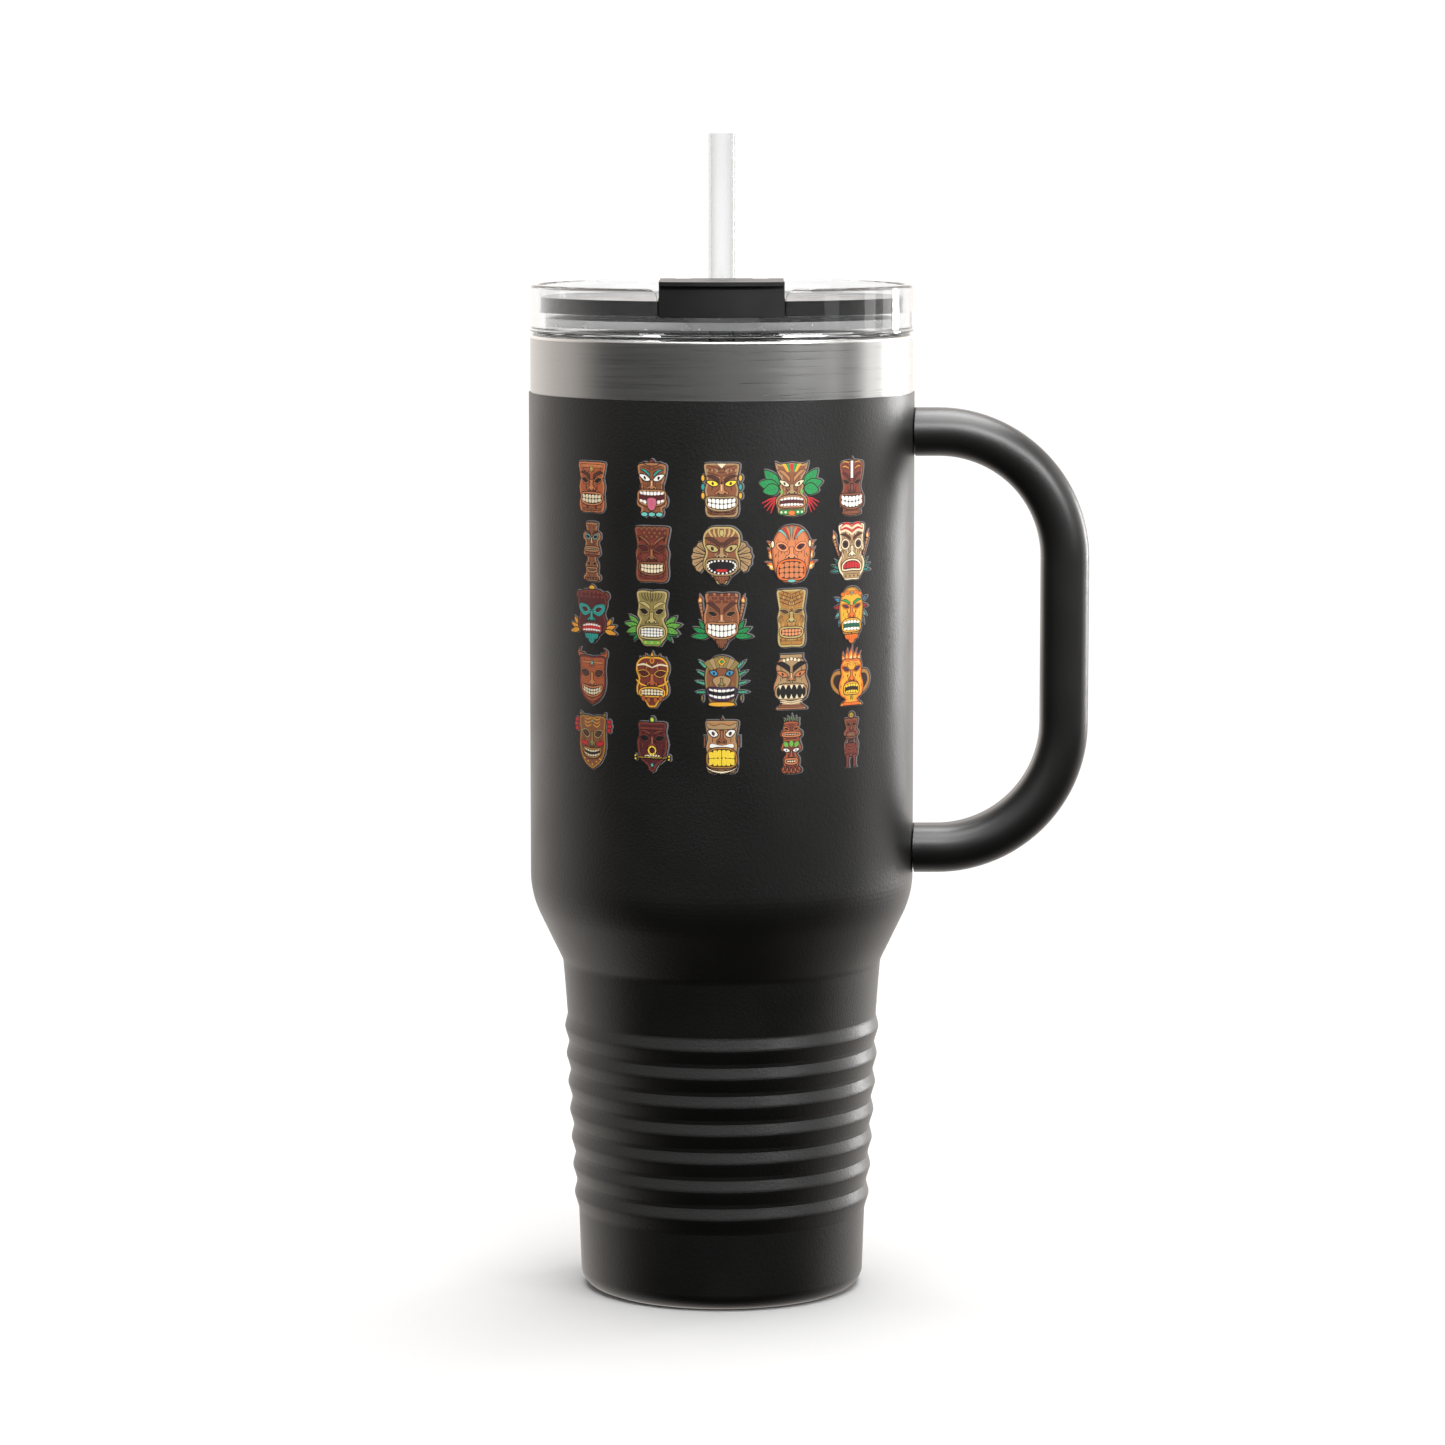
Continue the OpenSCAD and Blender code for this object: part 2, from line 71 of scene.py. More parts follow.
# name, place, target, size, watts and spread in degrees
PANELS = (
    ("top_panel", (0.1, -0.25, 2.2), (0.1, -0.25, 0), (2.0, 2.0), 107, 180),
    ("top_back_panel", (0.45, 0.7, 2.0), (0.2, 0.3, 0), (1.2, 1.2), 30, 180),
    ("right_strip", (1.5, 0.75, 0.5), MIDDLE, (0.3, 1.6), 2.7, 180),
    ("side_strip", (1.6, 0.25, 0.5), MIDDLE, (0.3, 1.6), 3.6, 180),
    ("side_panel", (1.5, -0.2, 0.7), (0, 0, 0.2), (0.3, 0.8), 0.9, 180),
    ("back_strip", (1.3, 1.0, 0.3), MIDDLE, (0.25, 0.6), 10.8, 180),
    ("front_strip", (1.5, -0.6, 0.35), MIDDLE, (0.3, 0.8), 0.8, 180),
    ("upper_glow", (0.12, -0.4, 0.52), (0.02, -0.05, 0.27), (0.35, 0.15), 0.31, 50),
    ("right_glow", (0.5, -0.45, 0.5), (0.03, -0.04, 0.25), (0.2, 0.3), 0.25, 50),
)


def area_light(name, place, target, size, watts, spread):
    """A soft panel. Only the overhead ones are seen through clear plastic."""
    data = bpy.data.lights.new(name, "AREA")
    data.shape = "RECTANGLE"
    data.size, data.size_y = size
    data.energy = watts
    data.spread = math.radians(spread)
    lamp = bpy.data.objects.new(name, data)
    bpy.context.scene.collection.objects.link(lamp)
    lamp.location = place
    lamp.rotation_euler = (Vector(target) - Vector(place)).to_track_quat("-Z", "Y").to_euler()
    lamp.visible_camera = False
    lamp.visible_transmission = place[2] > OVERHEAD


def make_world():
    """White behind the object, and round it a soft room: bright behind, beside and above, dim low in front."""
    world = bpy.data.worlds.new("studio")
    bpy.context.scene.world = world
    world.use_nodes = True
    nt = world.node_tree
    nt.nodes.clear()
    out = nt.nodes.new("ShaderNodeOutputWorld")
    coords = nt.nodes.new("ShaderNodeTexCoord")
    split = nt.nodes.new("ShaderNodeSeparateXYZ")
    nt.links.new(coords.outputs["Generated"], split.inputs[0])
    x, y, z = split.outputs
    behind = ramp(nt, y, 0.3, 0.8, 0, 1.4)
    beside = calc(nt, "MULTIPLY", ramp(nt, y, -0.35, 0.3, 0, 1), ramp(nt, y, 0.3, 0.8, 1, 0))
    sides = calc(nt, "MULTIPLY", beside, ramp(nt, x, -0.3, 0.3, 1, 0.55))
    front = calc(nt, "MULTIPLY", ramp(nt, y, -0.35, 0, 0.08, 0), ramp(nt, x, 0, 0.6, 1, 0))
    above = ramp(nt, z, -0.3, 0.1, 0, 1)
    upper = calc(nt, "MULTIPLY", ramp(nt, y, -0.3, 0.1, 1, 0), ramp(nt, z, 0.05, 0.25, 0, 0.73))
    lower = calc(nt, "MULTIPLY", front, above)
    room = nt.nodes.new("ShaderNodeAddShader")
    glows = (
        (ROOM_TINT, calc(nt, "ADD", behind, sides)),
        (WHITE, calc(nt, "ADD", upper, lower)),
    )
    for slot, (tint, strength) in enumerate(glows):
        glow = nt.nodes.new("ShaderNodeBackground")
        glow.inputs["Color"].default_value = tint
        nt.links.new(strength, glow.inputs["Strength"])
        nt.links.new(glow.outputs[0], room.inputs[slot])
    white = nt.nodes.new("ShaderNodeBackground")
    white.inputs["Color"].default_value = WHITE
    white.inputs["Strength"].default_value = WHITE_GLOW
    path = nt.nodes.new("ShaderNodeLightPath")
    mix = nt.nodes.new("ShaderNodeMixShader")
    through = calc(nt, "MULTIPLY", path.outputs["Is Transmission Ray"], ramp(nt, y, -0.2, 0.2, 0, 1))
    nt.links.new(calc(nt, "MAXIMUM", path.outputs["Is Camera Ray"], through), mix.inputs[0])
    nt.links.new(room.outputs[0], mix.inputs[1])
    nt.links.new(white.outputs[0], mix.inputs[2])
    nt.links.new(mix.outputs[0], out.inputs[0])


def make_lights():
    for panel in PANELS:
        area_light(*panel)


def make_floor():
    bpy.ops.mesh.primitive_plane_add(size=60, location=(0, 0, 0))
    floor = bpy.context.object
    floor.name = "floor"
    floor.data.materials.append(floor_material())
    floor.visible_glossy = False
    floor.visible_diffuse = False


# ---- node helpers ----

def new_material(name):
    mat = bpy.data.materials.new(name)
    mat.use_nodes = True
    shader = mat.node_tree.nodes["Principled BSDF"]
    return mat, mat.node_tree, shader


def object_coords(nt, scale=(1, 1, 1)):
    """The piece's own coordinates in metres, times a scale."""
    coords = nt.nodes.new("ShaderNodeTexCoord")
    mapping = nt.nodes.new("ShaderNodeMapping")
    mapping.inputs["Scale"].default_value = scale
    nt.links.new(coords.outputs["Object"], mapping.inputs["Vector"])
    return mapping.outputs[0]


def noise(nt, vector, scale, detail=2, roughness=0.5):
    node = nt.nodes.new("ShaderNodeTexNoise")
    node.inputs["Scale"].default_value = scale
    node.inputs["Detail"].default_value = detail
    node.inputs["Roughness"].default_value = roughness
    nt.links.new(vector, node.inputs["Vector"])
    return node.outputs["Fac"]


def calc(nt, operation, first, second):
    node = nt.nodes.new("ShaderNodeMath")
    node.operation = operation
    for socket, value in zip(node.inputs, (first, second)):
        if isinstance(value, (int, float)):
            socket.default_value = value
        else:
            nt.links.new(value, socket)
    return node.outputs[0]


def mapped(nt, value, low, high, from_low=0.3, from_high=0.7, kind="LINEAR"):
    """The value, taken from its own range to the range from low to high."""
    node = nt.nodes.new("ShaderNodeMapRange")
    node.interpolation_type = kind
    limits = {"From Min": from_low, "From Max": from_high, "To Min": low, "To Max": high}
    for name, number in limits.items():
        node.inputs[name].default_value = number
    nt.links.new(value, node.inputs["Value"])
    return node.outputs[0]


def ramp(nt, value, from_low, from_high, low, high):
    """A smooth change from low to high, between two readings of the value."""
    return mapped(nt, value, low, high, from_low, from_high, "SMOOTHSTEP")


def paint(nt, shader, factor, first, second):
    """A colour that goes from the first to the second as the factor goes from 0 to 1."""
    node = nt.nodes.new("ShaderNodeMix")
    node.data_type = "RGBA"
    node.inputs["A"].default_value = (*first, 1)
    node.inputs["B"].default_value = (*second, 1)
    nt.links.new(factor, node.inputs["Factor"])
    nt.links.new(node.outputs["Result"], shader.inputs["Base Color"])


def roughen(nt, shader, pattern, low, high):
    nt.links.new(mapped(nt, pattern, low, high), shader.inputs["Roughness"])


def bump(nt, shader, height, strength, distance):
    node = nt.nodes.new("ShaderNodeBump")
    node.inputs["Strength"].default_value = strength
    node.inputs["Distance"].default_value = distance
    nt.links.new(height, node.inputs["Height"])
    nt.links.new(node.outputs[0], shader.inputs["Normal"])


# ---- materials ----

PAPER_DARK = (0.338, 0.338, 0.338)
PAPER_LIGHT = (0.352, 0.352, 0.352)
FADE_START, FADE_END = 0.2, 1.3


def floor_material():
    """White paper that takes a shadow near the object and fades into the white behind it."""
    mat, nt, shader = new_material("floor_paper")
    place = object_coords(nt)
    grain = noise(nt, place, 4)
    paint(nt, shader, grain, PAPER_DARK, PAPER_LIGHT)
    shader.inputs["Roughness"].default_value = 0.9
    far = nt.nodes.new("ShaderNodeVectorMath")
    far.operation = "LENGTH"
    nt.links.new(place, far.inputs[0])
    glow = nt.nodes.new("ShaderNodeEmission")
    glow.inputs["Color"].default_value = WHITE
    glow.inputs["Strength"].default_value = WHITE_GLOW
    mix = nt.nodes.new("ShaderNodeMixShader")
    nt.links.new(ramp(nt, far.outputs["Value"], FADE_START, FADE_END, 0, 1), mix.inputs[0])
    nt.links.new(shader.outputs[0], mix.inputs[1])
    nt.links.new(glow.outputs[0], mix.inputs[2])
    nt.links.new(mix.outputs[0], nt.nodes["Material Output"].inputs[0])
    return mat


def coat_material(name, dark, light, rough, grain):
    """Matte powder coat: a fine orange-peel grain, with faint clouds of tone and sheen."""
    mat, nt, shader = new_material(name)
    place = object_coords(nt)
    clouds = noise(nt, place, 45, 3)
    paint(nt, shader, clouds, dark, light)
    roughen(nt, shader, clouds, rough - 0.03, rough + 0.03)
    shader.inputs["IOR"].default_value = 1.5
    bump(nt, shader, noise(nt, place, 1500), grain, 0.00012)
    return mat


def steel_material(name, tone, rough, streak):
    """Stainless steel brushed round the axis: long fine streaks that run level, in two widths."""
    mat, nt, shader = new_material(name)
    fine = noise(nt, object_coords(nt, (1, 1, 150)), 40, 3, 0.7)
    broad = noise(nt, object_coords(nt, (1, 1, 30)), 18)
    streaks = calc(nt, "ADD", calc(nt, "MULTIPLY", fine, 0.8), calc(nt, "MULTIPLY", broad, 0.2))
    low = tuple(c * 0.86 for c in tone)
    paint(nt, shader, mapped(nt, streaks, 0, 1, 0.2, 0.8), low, tone)
    roughen(nt, shader, streaks, rough - 0.05, rough + 0.05)
    shader.inputs["Metallic"].default_value = 1
    bump(nt, shader, streaks, streak, 0.00003)
    return mat


def moulded_material(name, tone, rough, grain, sheen=0.5):
    mat, nt, shader = new_material(name)
    shader.inputs["Specular IOR Level"].default_value = sheen
    place = object_coords(nt)
    clouds = noise(nt, place, 120, 3)
    paler = tuple(min(1, c * 1.25) for c in tone)
    paint(nt, shader, clouds, tone, paler)
    roughen(nt, shader, clouds, rough - 0.04, rough + 0.04)
    bump(nt, shader, noise(nt, place, 2600, 1), grain, 0.00005)
    return mat


def clear_material(name, tint, grazing_shade, rough, ior, clear=1):
    """Clear plastic with painted shade: its colour greys where the surface is seen at a grazing angle,
    standing in for the dark rims that refraction and reflection give, with faint rubbing marks.
    """
    mat, nt, shader = new_material(name)
    facing = nt.nodes.new("ShaderNodeLayerWeight")
    facing.inputs["Blend"].default_value = 0.25
    # painted shade: the colour goes from the tint towards the grazing shade as the surface turns away from the
    # view
    paint(nt, shader, facing.outputs["Facing"], tint, grazing_shade)
    marks = noise(nt, object_coords(nt), 300, 3)
    roughen(nt, shader, marks, rough, rough + 0.03)
    shader.inputs["Transmission Weight"].default_value = clear
    shader.inputs["IOR"].default_value = ior
    return mat


def dress(mat, *names):
    for name in names:
        for slot in nodes[name].material_slots:
            slot.material = mat


# ---- printed masks: flat outlines in mm, x to the right and y up, wrapped round the mug ----

COAT_R = 50.0
PRINT_SINK = 0.03
PRINT_RISE = 0.028
LAYER_RISE = 0.006
# each mask is cut every WRAP_STEP, WRAP_CUTS times to each side, so that it bends with the coat
WRAP_STEP = 1.0
WRAP_CUTS = 10
ON_PLANE = 1e-5
SLIVER = 1e-4
# a grey outline round each mask, moved right and up so that it shows mostly on one side: painted light on the
# raised print's rim
PAINTED_RIM_OUT = 0.14
PAINTED_RIM_SHIFT = (0.24, 0.06)
LINE_W = 0.25
FINE_LINE = 0.12
RIM_W = 0.42
GRAIN_COUNT = 60
GRAIN_INSET = 0.7
BROW_ARCH = 0.3
TOOTH_GAP = 0.13
INK_TONE = 0.72
# outline points nearer than MERGE are one, and corners flatter than FLAT are dropped
MERGE = 0.01
FLAT = 1e-5

INKS = {
    # the first ink is the grey of that outline, painted light on the raised print's rim
    "painted_lit_rim": (118, 116, 118), "line": (40, 22, 18), "black": (16, 12, 12),
    "wood": (140, 84, 54), "wood_dark": (84, 46, 34), "wood_light": (186, 128, 82),
    "rust": (178, 92, 52), "rust_light": (212, 128, 78), "red_wood": (124, 54, 42),
    "maroon": (86, 30, 32), "tan": (176, 144, 100), "olive": (146, 130, 74),
    "khaki": (196, 176, 112), "ochre": (176, 124, 54), "gold": (238, 176, 52),
    "orange": (238, 116, 38), "peach": (232, 150, 100), "cream": (240, 224, 188),
    "white": (250, 248, 240), "yellow": (250, 216, 62), "red": (202, 40, 44),
    "pink": (206, 106, 128), "teal": (44, 160, 150), "aqua": (112, 200, 192),
    "green": (34, 148, 78), "leaf": (112, 182, 72), "forest": (22, 92, 62),
    "blue": (66, 150, 190), "purple": (72, 44, 84),
}
INK_ORDER = list(INKS)


def ink_material(name):
    """Slightly glossy screen print: one flat colour, with a fine uneven film."""
    mat, nt, shader = new_material("ink_" + name)
    shader.inputs["Base Color"].default_value = (*[linear(c) * INK_TONE for c in INKS[name]], 1)
    place = object_coords(nt)
    film = noise(nt, place, 900)
    roughen(nt, shader, film, 0.42, 0.56)
    bump(nt, shader, film, 0.2, 0.00004)
    return mat


def linear(value):
    c = value / 255
    return c / 12.92 if c <= 0.04045 else ((c + 0.055) / 1.055) ** 2.4


def flip(points):
    return [(-x, y) for x, y in reversed(points)]


def shift(points, dx, dy, turn=0.0, size=1.0):
    c, s = math.cos(turn) * size, math.sin(turn) * size
    return [(x * c - y * s + dx, x * s + y * c + dy) for x, y in points]


def curve(points, parts=3, closed=True):
    """A smooth line through the points."""
    n = len(points)
    out = []
    spans = n if closed else n - 1
    for i in range(spans):
        if closed:
            a, b, c, d = (points[(i + k) % n] for k in (-1, 0, 1, 2))
        else:
            a, b, c, d = points[max(i - 1, 0)], points[i], points[i + 1], points[min(i + 2, n - 1)]
        for k in range(parts):
            t = k / parts
            out.append(tuple(
                0.5 * (2 * q + (r - p) * t + (2 * p - 5 * q + 4 * r - s) * t * t
                       + (3 * q - p - 3 * r + s) * t ** 3)
                for p, q, r, s in zip(a, b, c, d)))
    if not closed:
        out.append(points[-1])
    return out


def oval(x, y, w, h, n=20, square=2.0):
    out = []
    for i in range(n):
        a = 2 * math.pi * i / n
        c, s = math.cos(a), math.sin(a)
        out.append((x + w / 2 * math.copysign(abs(c) ** (2 / square), c),
                    y + h / 2 * math.copysign(abs(s) ** (2 / square), s)))
    return out


def rect(x0, y0, x1, y1):
    return [(x0, y0), (x1, y0), (x1, y1), (x0, y1)]


def normals(points, closed=True):
    n = len(points)
    out = []
    for i in range(n):
        a = points[i - 1] if closed or i > 0 else points[i]
        b = points[(i + 1) % n] if closed or i < n - 1 else points[i]
        p = points[i]
        d1 = unit(p[0] - a[0], p[1] - a[1])
        d2 = unit(b[0] - p[0], b[1] - p[1])
        m = unit(d1[1] + d2[1], -d1[0] - d2[0])
        cos_half = m[0] * d1[1] - m[1] * d1[0] if d1 != (0, 0) else m[0] * d2[1] - m[1] * d2[0]
        out.append((m, 1 / max(0.55, cos_half)))
    return out


def unit(x, y):
    d = math.hypot(x, y)
    return (x / d, y / d) if d > 1e-9 else (0, 0)


def area(points):
    return sum(a[0] * b[1] - b[0] * a[1] for a, b in zip(points, points[1:] + points[:1])) / 2


def grow(points, out):
    """The outline moved outward, or inward for a negative distance."""
    if area(points) < 0:
        points = points[::-1]
    return [(p[0] + m[0] * k * out, p[1] + m[1] * k * out) for p, (m, k) in zip(points, normals(points))]


def stroke(points, width, taper=True):
    """A drawn line as an outline, thinner at both ends."""
    left, right = [], []
    n = len(points) - 1
    for i, (p, (m, _)) in enumerate(zip(points, normals(points, closed=False))):
        w = width / 2
        if taper:
            w *= 0.25 + 0.75 * math.sin(math.pi * (0.12 + 0.76 * i / n))
        left.append((p[0] + m[0] * w, p[1] + m[1] * w))
        right.append((p[0] - m[0] * w, p[1] - m[1] * w))
    return left + right[::-1]


# half outlines from the top centre to the bottom centre, as shares of half the width and half the height
HEADS = {
    "block": [(0, 1), (0.7, 1), (1, 0.93), (0.94, 0.6), (0.86, 0.3), (0.96, 0.02), (0.9, -0.3),
              (0.94, -0.75), (0.72, -1), (0, -1)],
    "cup": [(0, 0.97), (0.55, 1), (0.98, 0.9), (0.86, 0.45), (0.94, 0.1), (0.78, -0.08), (1, -0.38),
            (0.9, -0.68), (0.72, -0.82), (0.5, -1), (0, -1)],
    "flare": [(0, 0.98), (0.62, 0.93), (0.96, 1), (0.84, 0.62), (0.6, 0.32), (0.72, 0.1), (0.62, -0.1),
              (0.92, -0.36), (0.82, -0.66), (0.7, -0.9), (0, -1)],
    "slim": [(0, 1), (0.5, 0.98), (0.92, 0.88), (0.84, 0.4), (0.7, 0.1), (0.76, -0.1), (1, -0.38),
             (0.92, -0.66), (0.7, -0.74), (0.74, -0.93), (0.3, -1), (0, -1)],
    "shield": [(0, 0.94), (0.5, 0.98), (1, 0.9), (0.96, 0.4), (1, -0.1), (0.86, -0.5), (0.5, -0.82), (0, -1)],
    "point": [(0, 0.9), (0.5, 0.92), (0.92, 0.86), (0.86, 0.5), (1, 0.1), (0.9, -0.3), (0.72, -0.55),
              (0.36, -0.72), (0.2, -0.92), (0, -1)],
    "round": [(0, 1), (0.42, 0.94), (0.78, 0.7), (0.98, 0.3), (0.96, -0.1), (0.86, -0.5), (0.58, -0.88),
              (0, -1)],
    "broad": [(0, 0.98), (0.5, 0.96), (0.86, 0.74), (0.92, 0.4), (0.78, 0.1), (0.9, -0.2), (0.84, -0.5),
              (0.42, -0.76), (0.22, -0.98), (0, -1)],
    "totem": [(0, 1), (0.6, 0.96), (0.7, 0.86), (0.62, 0.7), (0.94, 0.6), (0.98, 0.42), (0.72, 0.3),
              (0.92, 0.02), (0.88, -0.12), (0.5, -0.24), (0.74, -0.42), (0.7, -0.72), (0.92, -0.8),
              (0.9, -0.94), (0.4, -1), (0, -1)],
    "vase": [(0, 0.8), (0.6, 0.8), (0.86, 0.5), (0.8, 0.2), (1, -0.2), (0.84, -0.6), (0.5, -0.74),
             (0.86, -0.92), (0.8, -1), (0, -1)],
}


def inside(points, x, y):
    hit = False
    for (ax, ay), (bx, by) in zip(points, points[1:] + points[:1]):
        if (ay > y) != (by > y) and x < (bx - ax) * (y - ay) / (by - ay) + ax:
            hit = not hit
    return hit


def sided(points, sides):
    """The outline alone, or with its mirror image."""
    return [points, flip(points)][:sides]


def lift(x, w, bend):
    """How far a mouth of width w is raised at x; its ends are raised by bend."""
    return bend * (2 * x / w) ** 2


def mouth_outline(w, h, bend, y):
    return [(px, y + py + lift(px, w, bend)) for px, py in oval(0, 0, w, h, 36, 3.0)]


def whole(half):
    """The closed outline whose right half runs from the top centre to the bottom centre."""
    return half + flip(half[1:-1])


class Mask:
    """Flat shapes of one mask in drawing order, from the back to the front. Its size seeds the wood grain."""

    def __init__(self, w, h):
        self.w, self.h = w, h
        self.shapes, self.outer = [], []

    def put(self, points, ink, sides=1):
        self.shapes.extend((pts, ink) for pts in sided(points, sides))

    def both(self, points, ink):
        self.put(points, ink, 2)

    def lined(self, points, ink, line="line", width=FINE_LINE, sides=1):
        """A shape with a dark line round it."""
        for pts in sided(points, sides):
            self.put(pts, line)
            self.put(grow(pts, -width), ink)

    def part(self, points, ink, sides=1, line="line"):
        """A shape that belongs to the mask's outline and so gets the pale grey outline too: painted light on
        the raised print's rim.
        """
        self.outer.extend(sided(points, sides))
        self.lined(points, ink, line, LINE_W, sides)

    def draw(self, points, ink, width):
        """A tapered line on both halves."""
        self.both(stroke(curve(points, closed=False), width), ink)

    def head(self, kind, ink, shade, w, h, y=0.0):
        half = curve([(px * w / 2, py * h / 2 + y) for px, py in HEADS[kind]], closed=False)
        outline = whole(half)
        self.outer.append(outline)
        self.put(outline, "line")
        self.put(grow(outline, -LINE_W), shade)
        self.put(grow(outline, -LINE_W - RIM_W), ink)
        self.grain(outline, ("line", shade, "line"))

    def grain(self, outline, inks):
        """Carved nicks and wood grain over the whole head."""
        rng = random.Random(f"{self.w} {self.h}")
        reach = grow(outline, -GRAIN_INSET)
        for k in reversed(range(GRAIN_COUNT)):
            x, y = rng.uniform(0, self.w / 2), rng.uniform(-self.h / 2, self.h / 2)
            long, lean = rng.uniform(0.5, 1.3), rng.uniform(-0.35, 0.35)
            ends = [(x, y), (x + lean * 0.5, y + long / 2), (x + lean, y + long)]
            if all(inside(reach, px, py) for px, py in ends):
                self.both(stroke(ends, rng.uniform(0.12, 0.24)), inks[k % len(inks)])

    def leaf(self, x, y, length, width, turn, ink, vein):
        shape = curve([(0, 0), (0.25 * length, 0.42 * width), (0.6 * length, 0.45 * width), (length, 0),
                       (0.62 * length, -0.4 * width), (0.28 * length, -0.45 * width)])
        self.part(shift(shape, x, y, turn), ink, 2)
        lines = [[(0.05 * length, 0), (0.9 * length, 0)]]
        for t in (0.25, 0.45, 0.65):
            for s in (-1, 1):
                lines.append([(t * length, 0), ((t + 0.16) * length, s * 0.28 * width)])
        for line in lines:
            self.both(shift(stroke(line, 0.13), x, y, turn), vein)

    def flame(self, x, y, size, turn, sides=2):
        shape = curve([(0, -0.9), (0.55, -0.5), (0.45, 0.1), (0.15, 0.35), (0.12, 1.1), (-0.25, 0.5),
                       (-0.55, 0), (-0.5, -0.55)])
        self.part(shift(shape, x, y, turn, size), "orange", sides, line="red_wood")
        for scale, ink in ((0.62, "gold"), (0.3, "cream")):
            self.put(shift(shape, x, y - 0.25 * size, turn, size * scale), ink, sides)

    def torch(self, x, y, length, turn):
        self.flame(x + math.sin(turn) * length, y + math.cos(turn) * length + 1.0, 1.15, -turn * 0.6)
        stick = [(-0.36, 0), (0.36, 0), (0.62, length), (-0.62, length)]
        self.part(shift(stick, x, y, -turn), "wood_light", 2)
        for k in range(1, 5):
            band = stroke([(-0.5, length * k / 5), (0.5, length * k / 5 + 0.15)], 0.2, taper=False)
            self.both(shift(band, x, y, -turn), "wood_dark")

    def eyes(self, kind, x, y, w, h, ink="black", rim="wood_light", slant=0.25):
        """Both eyes; slant lowers the inner corners."""
        def tilt(points):
            return [(px, py + slant * (px - x)) for px, py in points]
        lids = [(x - w / 2, y), (x - w * 0.1, y + h / 2), (x + w / 2, y + h * 0.12), (x, y - h / 2)]
        almond = curve(lids, 4)
        if kind == "hollow":
            self.lined(tilt(grow(almond, 0.26)), rim, sides=2, width=0.1)
            self.both(tilt(almond), "line")
            self.both(tilt(grow(almond, -0.22)), ink)
        elif kind == "goggle":
            self.lined(tilt(oval(x, y, w * 1.5, h * 1.7)), rim, sides=2, width=0.14)
            self.lined(tilt(almond), "maroon", sides=2, width=0.14)
            self.both(tilt(oval(x - w * 0.08, y, h * 0.45, h * 0.5, 10)), ink)
        elif kind == "ring":
            self.lined(oval(x, y, w * 1.25, w * 1.25), rim, sides=2, width=0.14)
            self.lined(oval(x, y, w * 0.85, w * 0.85), "wood_dark", sides=2)
            self.lined(oval(x, y, w * 0.45, w * 0.45, 12), ink, sides=2, width=0.1)
        else:
            self.both(tilt(grow(almond, 0.24)), "line")
            self.both(tilt(almond), ink)
            self.both(tilt(oval(x - w * 0.02, y - h * 0.02, h * 0.5, h * 0.62, 10)), "line")

    def brows(self, x0, y0, x1, y1, thick, ink):
        """Brows from the bridge of the nose, out and up to the temples."""
        x, y = (x0 + x1) / 2, (y0 + y1) / 2
        top = [(x0, y0 + thick * 0.5), (x, y + thick * 0.6 + BROW_ARCH), (x1, y1)]
        low = [(x1, y1 - 0.1), (x, y - thick * 0.4 + BROW_ARCH), (x0, y0 - thick * 0.6)]
        self.lined(curve(top, 4, False) + curve(low, 4, False), ink, sides=2, width=0.15)

    def nose(self, y, w, h, ink):
        half = curve([(w * 0.22, y + h), (w * 0.2, y + h * 0.45), (w * 0.5, y + h * 0.22),
                      (w * 0.46, y - h * 0.02), (w * 0.2, y)], closed=False)
        self.lined(half + flip(half), ink, width=0.17)
        self.both(oval(w * 0.25, y + h * 0.12, w * 0.2, h * 0.13, 10), "line")
        ridge = stroke([(0, y + h * 0.35), (0, y + h * 0.85)], 0.3)
        self.put(ridge, "cream" if ink == "wood_light" else "wood_light")

    def teeth(self, y, w, h, bend, cols, rows, ink, clench=0.0):
        """Rows of teeth that follow the mouth's bend; clench opens the middle."""
        gap = TOOTH_GAP / 2
        for r in range(rows):
            for c in range(cols):
                x0, x1 = (-w / 2 + w * (c + k) / cols + s for k, s in ((0, gap), (1, -gap)))
                narrow = 1 - 0.35 * (2 * (x0 + x1) / 2 / w) ** 4
                y0 = (-h / 2 + h * r / rows) * narrow + gap
                y1 = (-h / 2 + h * (r + 1) / rows) * narrow - gap
                if r == 0:
                    y1 -= clench
                if r == rows - 1:
                    y0 += clench
                left, right = (y + lift(x, w, bend) for x in (x0, x1))
                cut = 0.22 * min(x1 - x0, y1 - y0)
                self.put([(x0 + cut, left + y0), (x1 - cut, right + y0), (x1, right + y0 + cut),
                          (x1, right + y1 - cut), (x1 - cut, right + y1), (x0 + cut, left + y1),
                          (x0, left + y1 - cut), (x0, left + y0 + cut)], ink)

